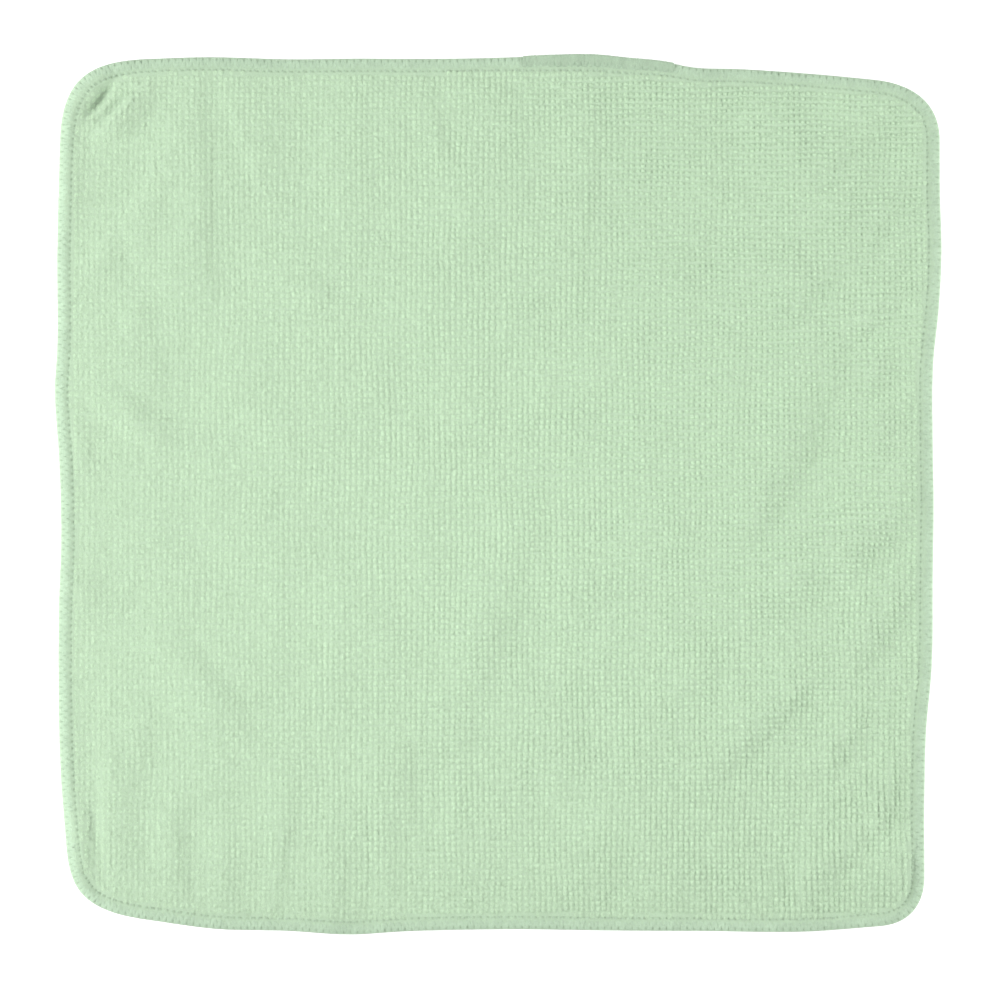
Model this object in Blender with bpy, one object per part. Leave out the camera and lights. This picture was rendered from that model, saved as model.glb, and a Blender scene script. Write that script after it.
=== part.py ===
"""Microfibre cloth: one square panel of terry, overlocked all round, lying flat with the soft folds of use.

The tables are in millimetres, and MM turns them into the model's metres. +Z is up from the table that the
cloth lies on, +X and +Y run along its sides, and the origin is on the table, under the middle of the cloth.
The hem is the panel's own edge, pressed down by its stitching, so cloth and hem are one closed solid.
"""

import math
from collections import namedtuple

import bmesh
import bpy
from mathutils import Vector
from mathutils.geometry import delaunay_2d_cdt, interpolate_bezier

MM = 0.001

# ---- The panel ----
PANEL_SIDE = 305.0  # the square that the cloth is cut to
BODY_THICKNESS = 2.6  # the ground and the loops of both faces

# ---- The mesh ----
CURVE_STEP = 1.0  # steps of the smooth curves that the edge is read from
EDGE_STEP = 5.0  # spacing of the points along the edge
FOLD_STEP = 7.0  # spacing of the points along a fold
FOLD_ROWS = (-1.0, -0.5, 0.0, 0.5, 1.0)  # rows across a fold, from the foot of one slope to that of the other
FOLD_ROOM = 2.4  # room that a fold's point keeps to any other
GRID_STEP = 11.0  # spacing of the points over the flat stretches
GRID_ROOM = 5.0  # room that a flat stretch's point keeps to any other
SAME_PLACE = 1e-6  # points closer than this would count as one
INSIDE_ONLY = 1  # the triangulation's choice that keeps only the triangles inside the rim

# ---- The edge ----
# A station is a point of the cloth's edge. along is measured along the side from its middle: it is x on the
# top and bottom sides and y on the right and left ones. out is how far the edge lies outside the cut square.
# The stations go round clockwise, seen from above, and each side stops where its corners start to turn.
Station = namedtuple("Station", "along out")
TOP = (
    Station(-122, 0.0),
    Station(-104, 0.6),
    Station(-72, -0.1),
    Station(-48, 0.1),
    Station(-28, 0.0),
    Station(8, 0.7),
    Station(17, 1.1),
    Station(34, 1.4),
    Station(46, 0.2),
    Station(58, -1.0),
    Station(69, -3.0),
    Station(84, -3.5),
    Station(112, -5.4),
    Station(132, -7.3),
)
RIGHT = (
    Station(124, 2.5),
    Station(106, 2.5),
    Station(84, 3.1),
    Station(64, 2.1),
    Station(48, 0.4),
    Station(20, 0.1),
    Station(-2, 0.4),
    Station(-28, 0.1),
    Station(-62, -0.4),
    Station(-82, -2.2),
    Station(-104, -2.8),
    Station(-134, -2.8),
)
BOTTOM = (
    Station(134, -1.2),
    Station(112, 0.5),
    Station(70, 0.5),
    Station(40, 0.3),
    Station(0, -0.1),
    Station(-34, 0.7),
    Station(-50, 1.7),
    Station(-74, 0.4),
    Station(-98, -0.2),
    Station(-122, -3.4),
)
LEFT = (
    Station(-122, -1.4),
    Station(-98, 0.4),
    Station(-62, 1.3),
    Station(-36, 1.0),
    Station(-20, 0.4),
    Station(12, 1.0),
    Station(38, 2.5),
    Station(50, 1.8),
    Station(84, 1.7),
    Station(122, 0.8),
)

# A corner runs from one side to the next, clockwise. start and end say how far the curve holds to each side
# before it turns, as a share of the way to the point where the two sides would meet.
Corner = namedtuple("Corner", "name start end")
TOP_RIGHT = Corner("top right", 0.45, 0.80)
BOTTOM_RIGHT = Corner("bottom right", 0.60, 0.65)
BOTTOM_LEFT = Corner("bottom left", 0.85, 0.70)
TOP_LEFT = Corner("top left", 0.75, 0.75)

# ---- The hem, from the outermost line inwards ----
# inset is the distance in from the edge, and height is the face's height over the table. share is how much of
# a hem spread, below, the row takes: 0 stays by the edge, 1 moves in with the needle line.
HemRow = namedtuple("HemRow", "name inset height share")
ROLL = HemRow("outermost line of the rolled edge", 0.0, 1.0, 0.0)
UPPER_HEM = (
    HemRow("turn of the roll", 0.4, 1.8, 0.0),
    HemRow("crown of the roll", 1.5, 2.15, 0.2),
    HemRow("looper threads", 3.0, 1.9, 0.8),
    HemRow("needle line", 4.2, 1.4, 1.0),
    HemRow("first loops", 5.3, 2.2, 1.0),
    HemRow("full pile", 7.0, BODY_THICKNESS, 1.0),
)
LOWER_HEM = (
    HemRow("underside of the roll", 0.4, 0.25, 0.0),
    HemRow("where the hem meets the table", 1.3, 0.0, 0.2),
    HemRow("full pile underneath", 7.0, 0.0, 1.0),
)

# Where the hem is wider: the needle line moves in by extra, and the roll stands higher by rise.
Spread = namedtuple("Spread", "name x y reach extra rise")
SPREADS = (
    Spread("corner where the machine turned", -145.5, 144.5, 30.0, 4.6, 0.0),
    Spread("lap where the overlock starts and ends", 32.0, 153.0, 36.0, 1.2, 0.5),
)

# ---- The folds ----
# A fold is a soft ridge from its higher end (x0, y0) to its lower end (x1, y1), where it fades out. bow moves
# its middle towards +X, height is its rise over the table, and left and right are how wide its slopes are.
Fold = namedtuple("Fold", "name x0 y0 x1 y1 bow height left right")
FOLDS = (
    # from the turned corner down the left side
    Fold("pucker", -123.0, 147.0, -144.0, 123.0, 1.5, 2.6, 3.4, 6.5),
    Fold("fan", -115.0, 136.0, -148.0, 66.0, 4.0, 1.2, 5.0, 7.0),
    Fold("hem pull", -150.0, 134.0, -150.5, 80.0, 0.5, 0.8, 5.0, 5.5),
    Fold("long crease", -106.0, 160.0, -102.0, 48.0, -0.5, 1.5, 10.0, 5.5),
    Fold("slant", -97.0, 152.0, -73.0, 86.0, 0.0, 1.1, 5.0, 11.0),
    Fold("dint", -134.0, 68.0, -118.0, 45.0, 0.0, 0.7, 7.0, 4.0),
    Fold("left swell", -120.0, 60.0, -116.0, 28.0, 0.0, 0.7, 9.0, 5.0),
    Fold("left slant", -143.0, 34.0, -103.0, 9.0, 0.0, 1.1, 6.0, 6.0),
    Fold("left hem pull", -148.0, 30.0, -143.0, 0.0, 0.0, 0.6, 4.0, 4.5),
    # the lower left
    Fold("low slant", -126.0, -44.0, -84.0, -102.0, 1.0, 1.5, 10.0, 5.0),
    Fold("corner pull", -130.0, -60.0, -126.0, -158.0, -4.0, 1.4, 5.0, 9.0),
    Fold("turned edge", -148.0, -96.0, -143.0, -146.0, 0.0, 1.2, 5.0, 5.0),
    Fold("nick", -125.0, -66.0, -124.0, -108.0, 0.0, 0.6, 6.0, 4.0),
    # gathers along the bottom hem, from the left
    Fold("gather 1", -116.5, -98.0, -115.0, -156.0, 1.0, 1.5, 6.0, 4.6),
    Fold("gather 2", -97.0, -98.0, -94.0, -164.0, 0.0, 1.0, 9.0, 4.6),
    Fold("gather 3", -75.5, -90.0, -78.0, -164.0, 0.0, 1.3, 5.0, 5.6),
    Fold("gather 4", -58.5, -92.0, -58.0, -164.0, 0.0, 0.9, 8.0, 4.6),
    Fold("gather 5", -42.5, -52.0, -38.5, -166.0, -0.5, 1.3, 4.8, 9.0),
    Fold("gather 6", -38.0, -76.0, -30.0, -112.0, 0.0, 0.7, 6.0, 4.6),
    Fold("gather 7", -15.0, -78.0, -17.0, -130.0, 0.0, 0.8, 4.4, 6.0),
    Fold("gather 8", 105.5, -102.0, 102.0, -164.0, 0.0, 1.0, 5.0, 6.0),
    # the middle
    Fold("first rib", -79.0, -6.0, -78.0, -82.0, 0.0, 0.6, 5.0, 4.2),
    Fold("second rib", -57.5, -16.0, -57.0, -88.0, 0.0, 0.9, 5.0, 6.0),
    Fold("long swell", 22.0, 38.0, -12.0, -76.0, 0.5, 1.8, 14.0, 8.0),
    Fold("mid crease", 22.0, -42.0, 23.0, -132.0, 0.0, 0.7, 4.2, 8.0),
    Fold("top crease", 34.0, 164.0, 23.0, 38.0, -0.5, 1.1, 6.0, 6.0),
    Fold("top left crease", -30.0, 158.0, -17.0, 104.0, 0.0, 0.8, 6.5, 4.8),
    Fold("faint crease", -31.0, 36.0, -29.0, 6.0, 0.0, 0.6, 9.0, 5.0),
    # the right side, from the top
    Fold("right swell", 129.0, 124.0, 122.0, 74.0, 0.0, 0.8, 12.0, 12.0),
    Fold("right slant", 121.0, 88.0, 98.0, 56.0, 0.0, 0.8, 7.0, 4.8),
    Fold("upper curve", 140.0, 68.0, 105.0, 26.0, -7.0, 1.3, 8.0, 4.8),
    Fold("lower curve", 110.0, 50.0, 75.0, -24.0, 3.5, 1.5, 9.0, 4.8),
    Fold("right ridge", 150.0, 6.0, 72.0, -52.0, -1.0, 1.5, 8.0, 11.0),
    Fold("hem crease", 146.0, -18.0, 106.0, -70.0, 1.0, 1.2, 7.0, 4.8),
    Fold("low right slant", 113.0, -58.0, 50.0, -118.0, 0.0, 1.7, 10.0, 5.0),
    Fold("short slant", 127.0, -70.0, 107.0, -104.0, 1.0, 1.1, 6.0, 4.6),
    Fold("edge slant", 137.0, -86.0, 131.0, -128.0, 0.0, 1.3, 7.0, 4.6),
    Fold("corner lump", 139.0, -112.0, 128.0, -158.0, 0.0, 1.6, 12.0, 4.6),
    Fold("corner hollow", 121.0, -108.0, 111.0, -152.0, 0.0, 1.1, 5.0, 5.0),
)

# The pocket between the pucker and the turned hem: a dip in the upper face alone.
POCKET = Fold("pocket", -131.5, 148.0, -149.0, 127.5, 0.5, -1.0, 2.4, 2.4)

# ---- Finish ----
TERRY_COLOUR = (0.546, 0.738, 0.515, 1.0)
TERRY_ROUGHNESS = 0.95


def soft_curve(points):
    """Small steps along a smooth curve through the points, with its direction at both ends."""
    spans = [(b - a).length for a, b in zip(points, points[1:])]
    slopes = [(b - a) / span for a, b, span in zip(points, points[1:], spans)]
    inner = [
        (slopes[i] * spans[i + 1] + slopes[i + 1] * spans[i]) / (spans[i] + spans[i + 1])
        for i in range(len(spans) - 1)
    ]
    along = [slopes[0], *inner, slopes[-1]]
    curve = [points[0]]
    for i, span in enumerate(spans):
        handle_a = points[i] + along[i] * span / 3
        handle_b = points[i + 1] - along[i + 1] * span / 3
        steps = max(2, math.ceil(span / CURVE_STEP)) + 1
        curve += interpolate_bezier(points[i], handle_a, handle_b, points[i + 1], steps)[1:]
    return curve, along[0], along[-1]


def meeting_point(a, along_a, b, along_b):
    """The point where the line through a and the line through b cross."""
    cross = along_a.x * along_b.y - along_a.y * along_b.x
    gap = b - a
    return a + along_a * ((gap.x * along_b.y - gap.y * along_b.x) / cross)


def corner_curve(corner, a, along_a, b, along_b):
    """The turn from a, where one side ends, to b, where the next one starts."""
    tip = meeting_point(a, along_a, b, along_b)
    steps = math.ceil((b - a).length / CURVE_STEP) + 1
    return interpolate_bezier(a, a.lerp(tip, corner.start), b.lerp(tip, corner.end), b, steps)[1:-1]


def edge_curve():
    """The whole edge as one closed, clockwise list of points, centred on the origin."""
    half = PANEL_SIDE / 2
    sides = (
        [Vector((s.along, half + s.out, 0)) for s in TOP],
        [Vector((half + s.out, s.along, 0)) for s in RIGHT],
        [Vector((s.along, -half - s.out, 0)) for s in BOTTOM],
        [Vector((-half - s.out, s.along, 0)) for s in LEFT],
    )
    runs = [soft_curve(side) for side in sides]
    loop = []
    for i, corner in enumerate((TOP_RIGHT, BOTTOM_RIGHT, BOTTOM_LEFT, TOP_LEFT)):
        run, _, leaving = runs[i]
        following, entering, _ = runs[(i + 1) % 4]
        loop += run + corner_curve(corner, run[-1], leaving, following[0], entering)
    middle = Vector([(min(p[axis] for p in loop) + max(p[axis] for p in loop)) / 2 for axis in range(3)])
    return [p - middle for p in loop]


def evenly(loop, step):
    """The closed loop's points again, a whole number of equal steps apart."""
    spans = [(b - a).length for a, b in zip(loop, loop[1:] + loop[:1])]
    count = round(sum(spans) / step)
    stride = sum(spans) / count
    points = []
    walked = 0.0
    for a, b, span in zip(loop, loop[1:] + loop[:1], spans):
        while len(points) < count and len(points) * stride <= walked + span:
            points.append(a.lerp(b, (len(points) * stride - walked) / span))
        walked += span
    return points


def inward(loop):
    """For each point of the clockwise loop, the direction that leads into the cloth.

    It is square to the line between the points two before and two after, so that it turns evenly at corners.
    """
    count = len(loop)
    directions = []
    for i in range(count):
        along = (loop[(i + 2) % count] - loop[i - 2]).normalized()
        directions.append(Vector((along.y, -along.x, 0)))
    return directions


def soft_bump(distance):
    """A bump that is 1 at 0 and fades smoothly to 0 at 1 and beyond."""
    return (1 - distance**2) ** 2 if abs(distance) < 1 else 0.0


def bow_at(fold, share):
    """How far the bow moves the fold's crest, at a share of its length: nothing at the ends, all in the middle."""
    return fold.bow * 4 * share * (1 - share)


def ridge(fold, x, y):
    """The fold's height at a place on the cloth."""
    run_x, run_y = fold.x1 - fold.x0, fold.y1 - fold.y0
    length = math.hypot(run_x, run_y)
    share = ((x - fold.x0) * run_x + (y - fold.y0) * run_y) / length**2
    aside = ((y - fold.y0) * run_x - (x - fold.x0) * run_y) / length - bow_at(fold, share)
    width = fold.right if aside > 0 else fold.left
    return fold.height * soft_bump(2 * share - 1) * soft_bump(aside / width)


def lift(x, y):
    """How high the folds carry the underside over the table."""
    return sum(ridge(fold, x, y) for fold in FOLDS)


def spread_at(x, y):
    """How much further in the needle line lies here, and how much higher the roll stands."""
    extra = rise = 0.0
    for spread in SPREADS:
        near = soft_bump(math.hypot(x - spread.x, y - spread.y) / spread.reach)
        extra += spread.extra * near
        rise += spread.rise * near
    return extra, rise


def hem_ring(edge, directions, row, upper):
    """One row of the hem, as points all round the cloth."""
    points = []
    for place, direction in zip(edge, directions):
        extra, rise = spread_at(place.x, place.y)
        point = place + direction * (row.inset + extra * row.share)
        point.z = row.height + lift(point.x, point.y)
        if upper:
            point.z += rise * (1 - row.share) + ridge(POCKET, point.x, point.y)
        points.append(point)
    return points


def inside(x, y, loop):
    """Whether the place lies within the closed loop."""
    crossings = 0
    for a, b in zip(loop, loop[1:] + loop[:1]):
        if (a.y > y) != (b.y > y) and x < a.x + (b.x - a.x) * (y - a.y) / (b.y - a.y):
            crossings += 1
    return crossings % 2 == 1


def fold_places(fold):
    """Places in rows along a fold: its crest, the middle of each slope, and the foot of each slope."""
    run_x, run_y = fold.x1 - fold.x0, fold.y1 - fold.y0
    length = math.hypot(run_x, run_y)
    steps = max(2, round(length / FOLD_STEP))
    places = []
    for i in range(steps + 1):
        share = i / steps
        for part in FOLD_ROWS:
            aside = part * (fold.right if part > 0 else fold.left) + bow_at(fold, share)
            x = fold.x0 + run_x * share - run_y / length * aside
            y = fold.y0 + run_y * share + run_x / length * aside
            places.append((x, y))
    return places


def body_places(loop):
    """Places over the body: rows along the folds first, then an even grid in the room that they leave."""
    taken = [(p.x, p.y) for p in loop]
    count = len(taken)

    def keep(x, y, room):
        clear = all(math.hypot(x - a, y - b) > room for a, b in taken)
        if clear and inside(x, y, loop):
            taken.append((x, y))

    for fold in FOLDS:
        for x, y in fold_places(fold):
            keep(x, y, FOLD_ROOM)
    reach = math.ceil(PANEL_SIDE / 2 / GRID_STEP)
    for row in range(-reach, reach + 1):
        for column in range(-reach, reach + 1):
            keep(column * GRID_STEP, row * GRID_STEP, GRID_ROOM)
    return taken[count:]


def add_band(bm, outer, inner):
    """The faces between two rings, wound to face up when outer lies outside inner."""
    count = len(outer)
    for i in range(count):
        j = (i + 1) % count
        bm.faces.new((outer[i], inner[i], inner[j], outer[j]))


def add_face(bm, ring, places, triangles, height, facing_up):
    """One whole face of the body, from the hem's innermost ring over the places inside it."""
    corners = ring + [bm.verts.new((x, y, height + lift(x, y))) for x, y in places]
    for triangle in triangles:
        order = triangle if facing_up else tuple(reversed(triangle))
        bm.faces.new([corners[i] for i in order])


def cloth_mesh():
    """The closed skin of the cloth: rolled edge, both sides of the hem, and both faces of the body."""
    edge = evenly(edge_curve(), EDGE_STEP)
    directions = inward(edge)
    bm = bmesh.new()

    def ring(row, upper):
        return [bm.verts.new(point) for point in hem_ring(edge, directions, row, upper)]

    roll = ring(ROLL, False)
    upper = [roll] + [ring(row, True) for row in UPPER_HEM]
    lower = [roll] + [ring(row, False) for row in LOWER_HEM]
    for outer, inner in zip(upper, upper[1:]):
        add_band(bm, outer, inner)
    for outer, inner in zip(lower, lower[1:]):
        add_band(bm, inner, outer)

    rim = [vert.co.copy() for vert in upper[-1]]
    places = body_places(rim)
    flat = [Vector((p.x, p.y)) for p in rim] + [Vector(place) for place in places]
    count = len(rim)
    seam = [(i, (i + 1) % count) for i in range(count)]
    triangles = delaunay_2d_cdt(flat, seam, [], INSIDE_ONLY, SAME_PLACE)[2]
    add_face(bm, upper[-1], places, triangles, BODY_THICKNESS, True)
    add_face(bm, lower[-1], places, triangles, 0.0, False)
    bmesh.ops.recalc_face_normals(bm, faces=bm.faces)
    bmesh.ops.scale(bm, vec=(MM, MM, MM), verts=bm.verts)
    mesh = bpy.data.meshes.new("cloth")
    bm.to_mesh(mesh)
    bm.free()
    return mesh


def terry_material():
    """Pale mint microfibre, quite matt."""
    material = bpy.data.materials.new("mint terry")
    material.use_nodes = True
    surface = material.node_tree.nodes["Principled BSDF"]
    surface.inputs["Base Color"].default_value = TERRY_COLOUR
    surface.inputs["Roughness"].default_value = TERRY_ROUGHNESS
    surface.inputs["Metallic"].default_value = 0.0
    material.diffuse_color = TERRY_COLOUR
    return material


def build():
    """Clears the scene and lays the cloth on the table."""
    for old in list(bpy.data.objects):
        bpy.data.objects.remove(old, do_unlink=True)
    mesh = cloth_mesh()
    mesh.materials.append(terry_material())
    mesh.shade_smooth()
    cloth = bpy.data.objects.new("cloth", mesh)
    bpy.context.scene.collection.objects.link(cloth)


build()
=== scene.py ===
# %% [markdown]
# # A microfibre cloth, laid out flat
# The cloth is a square of knitted microfibre terry. A thin knitted ground carries thousands of small loops on
# both faces, and an overlock seam runs round the edge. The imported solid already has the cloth's outline,
# thickness and main folds. This script keeps the outline, draws the folds in finer detail, and makes what the
# eye sees on them: the ground, the loops, and the threads of the seam. All of it could be painted on the solid
# as bump, but a pile has real depth, and its small shadows are what tells terry from felt. So the loops and
# the threads are real shapes here.

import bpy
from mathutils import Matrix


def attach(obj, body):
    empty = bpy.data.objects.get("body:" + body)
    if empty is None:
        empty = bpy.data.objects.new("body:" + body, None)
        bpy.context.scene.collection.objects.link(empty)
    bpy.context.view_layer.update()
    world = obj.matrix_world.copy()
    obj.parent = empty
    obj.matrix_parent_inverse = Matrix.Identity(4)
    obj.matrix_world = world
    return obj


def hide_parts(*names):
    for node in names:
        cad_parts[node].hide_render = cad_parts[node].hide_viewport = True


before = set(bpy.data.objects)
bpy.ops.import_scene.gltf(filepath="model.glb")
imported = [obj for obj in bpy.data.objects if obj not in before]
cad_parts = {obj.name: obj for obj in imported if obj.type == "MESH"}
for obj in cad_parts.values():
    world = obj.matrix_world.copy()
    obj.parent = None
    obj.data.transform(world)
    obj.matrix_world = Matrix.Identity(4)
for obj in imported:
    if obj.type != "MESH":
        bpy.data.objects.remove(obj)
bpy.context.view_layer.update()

# %% [markdown]
# ## Units and small helpers
# Textile sizes are easiest to read in millimetres, so every table below is in millimetres and MM turns it
# into Blender's metres. A soft bump is the one shape that all the folds are made of: 1 in its middle, and
# fading to nothing at a distance of 1, without a corner.

# %% Units, the soft bump, and what every mesh needs
import math
import random
from collections import namedtuple

import bmesh
import bpy
import numpy as np
from mathutils import Vector
from mathutils.geometry import delaunay_2d_cdt, interpolate_bezier
from mathutils.kdtree import KDTree

MM = 0.001


def soft_bump(distance):
    """1 at 0, fading smoothly to 0 at 1 and beyond, for one number or an array."""
    return np.clip(1 - np.asarray(distance, float) ** 2, 0, None) ** 2


def new_object(name, data):
    """A new object in the scene, at the origin."""
    thing = bpy.data.objects.new(name, data)
    bpy.context.scene.collection.objects.link(thing)
    return thing


def built(name, mesh):
    """A new object from a bmesh, which is freed."""
    data = bpy.data.meshes.new(name)
    mesh.to_mesh(data)
    mesh.free()
    return new_object(name, data)


def write_on_points(mesh, name, values):
    """Notes a number on each of the mesh's points, under a name that node trees can read."""
    mesh.attributes.new(name, "FLOAT", "POINT").data.foreach_set("value", values.astype(np.float32))


def triangles_of(mesh):
    """How many triangles a mesh has."""
    return sum(len(face.vertices) - 2 for face in mesh.polygons)


def set_inputs(node, values):
    """Sets a node's own inputs, by name."""
    for name, value in values.items():
        node.inputs[name].default_value = value


# %% [markdown]
# ## The edge of the cloth
# An overlocked edge is never quite straight, because the seam draws it in here and lets it out there. It
# could be a noisy square, but the eye knows this cloth by its outline. So each side has a short table of
# stations: how far the edge lies outside the cut square, at that place along the side. Smooth curves join
# them.

# %% Stations of the four sides
PANEL_SIDE = 305.0  # the square that the cloth is cut to
CURVE_STEP = 1.0
STITCH = 2.4  # length of an overlock stitch

# along is x on the top and bottom sides and y on the right and left ones. The stations go round clockwise.
Station = namedtuple("Station", "along out")
TOP = (
    Station(-122, 0.0),
    Station(-104, 0.6),
    Station(-72, -0.1),
    Station(-48, 0.1),
    Station(-28, 0.0),
    Station(8, 0.7),
    Station(17, 1.1),
    Station(34, 1.4),
    Station(46, 0.2),
    Station(58, -1.0),
    Station(69, -3.0),
    Station(84, -3.5),
    Station(112, -5.4),
    Station(132, -7.3),
)
RIGHT = (
    Station(124, 2.5),
    Station(106, 2.5),
    Station(84, 3.1),
    Station(64, 2.1),
    Station(48, 0.4),
    Station(20, 0.1),
    Station(-2, 0.4),
    Station(-28, 0.1),
    Station(-62, -0.4),
    Station(-82, -2.2),
    Station(-104, -2.8),
    Station(-134, -2.8),
)
BOTTOM = (
    Station(134, -1.2),
    Station(112, 0.5),
    Station(70, 0.5),
    Station(40, 0.3),
    Station(0, -0.1),
    Station(-34, 0.7),
    Station(-50, 1.7),
    Station(-74, 0.4),
    Station(-98, -0.2),
    Station(-122, -3.4),
)
LEFT = (
    Station(-122, -1.4),
    Station(-98, 0.4),
    Station(-62, 1.3),
    Station(-36, 1.0),
    Station(-20, 0.4),
    Station(12, 1.0),
    Station(38, 2.5),
    Station(50, 1.8),
    Station(84, 1.7),
    Station(122, 0.8),
)

# start and end: how far a corner's curve holds to each side before it turns, as a share of the way to the
# corner's tip.
Corner = namedtuple("Corner", "name start end")
CORNERS = (
    Corner("top right", 0.45, 0.80),
    Corner("bottom right", 0.60, 0.65),
    Corner("bottom left", 0.85, 0.70),
    Corner("top left", 0.75, 0.75),
)

# %% Curves through the stations
def soft_curve(points):
    """Small steps along a smooth curve through the points, with its direction at both ends."""
    spans = [(b - a).length for a, b in zip(points, points[1:])]
    slopes = [(b - a) / span for a, b, span in zip(points, points[1:], spans)]
    inner = [
        (slopes[i] * spans[i + 1] + slopes[i + 1] * spans[i]) / (spans[i] + spans[i + 1])
        for i in range(len(spans) - 1)
    ]
    along = [slopes[0], *inner, slopes[-1]]
    curve = [points[0]]
    for i, span in enumerate(spans):
        handle_a = points[i] + along[i] * span / 3
        handle_b = points[i + 1] - along[i + 1] * span / 3
        steps = max(2, math.ceil(span / CURVE_STEP)) + 1
        curve += interpolate_bezier(points[i], handle_a, handle_b, points[i + 1], steps)[1:]
    return curve, along[0], along[-1]


def corner_curve(corner, a, along_a, b, along_b):
    """The turn from a, where one side ends, to b, where the next one starts."""
    cross = along_a.x * along_b.y - along_a.y * along_b.x
    gap = b - a
    tip = a + along_a * ((gap.x * along_b.y - gap.y * along_b.x) / cross)
    steps = math.ceil(gap.length / CURVE_STEP) + 1
    return interpolate_bezier(a, a.lerp(tip, corner.start), b.lerp(tip, corner.end), b, steps)[1:-1]


def edge_curve():
    """The whole edge, clockwise and closed, centred on the origin."""
    half = PANEL_SIDE / 2
    sides = (
        [Vector((s.along, half + s.out, 0)) for s in TOP],
        [Vector((half + s.out, s.along, 0)) for s in RIGHT],
        [Vector((s.along, -half - s.out, 0)) for s in BOTTOM],
        [Vector((-half - s.out, s.along, 0)) for s in LEFT],
    )
    runs = [soft_curve(side) for side in sides]
    loop = []
    for i, corner in enumerate(CORNERS):
        run, _, leaving = runs[i]
        following, entering, _ = runs[(i + 1) % 4]
        loop += run + corner_curve(corner, run[-1], leaving, following[0], entering)
    places = np.array([(p.x, p.y) for p in loop])
    return places - (places.min(0) + places.max(0)) / 2


def distances(loop):
    """How far each point is along the closed loop, and last its whole length."""
    closed = np.vstack([loop, loop[:1]])
    return np.concatenate([[0], np.cumsum(np.linalg.norm(np.diff(closed, axis=0), axis=1))])


def evenly(loop, count):
    """The closed loop again, in that many equal steps."""
    closed = np.vstack([loop, loop[:1]])
    walked = distances(loop)
    at = np.arange(count) * walked[-1] / count
    return np.stack([np.interp(at, walked, closed[:, i]) for i in (0, 1)], 1)


# Four steps make a stitch, so that a needle hole can fall on every fourth point.
STEPS = 4
drawn_edge = edge_curve()
edge_length = distances(drawn_edge)[-1]
stitches = round(edge_length / STITCH)
edge = evenly(drawn_edge, STEPS * stitches)
ahead = np.roll(edge, -STEPS, axis=0) - np.roll(edge, STEPS, axis=0)
ahead /= np.linalg.norm(ahead, axis=1)[:, None]
inward = np.stack([ahead[:, 1], -ahead[:, 0]], 1)  # into the cloth, for a loop that runs clockwise
print(f"the edge is {edge_length:.0f} mm long and takes {stitches} stitches")

# %% [markdown]
# ## The folds
# A cloth that was folded in its packet keeps soft ridges: fans at the corners, gathers along the hem, long
# slanting swells over the body. A simulation would drape it somewhere else, and these have to lie where they
# lie on the real cloth. So each is one row of a table, with its two ends, a bow, a height, and the width of
# its left and right slopes.

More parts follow.
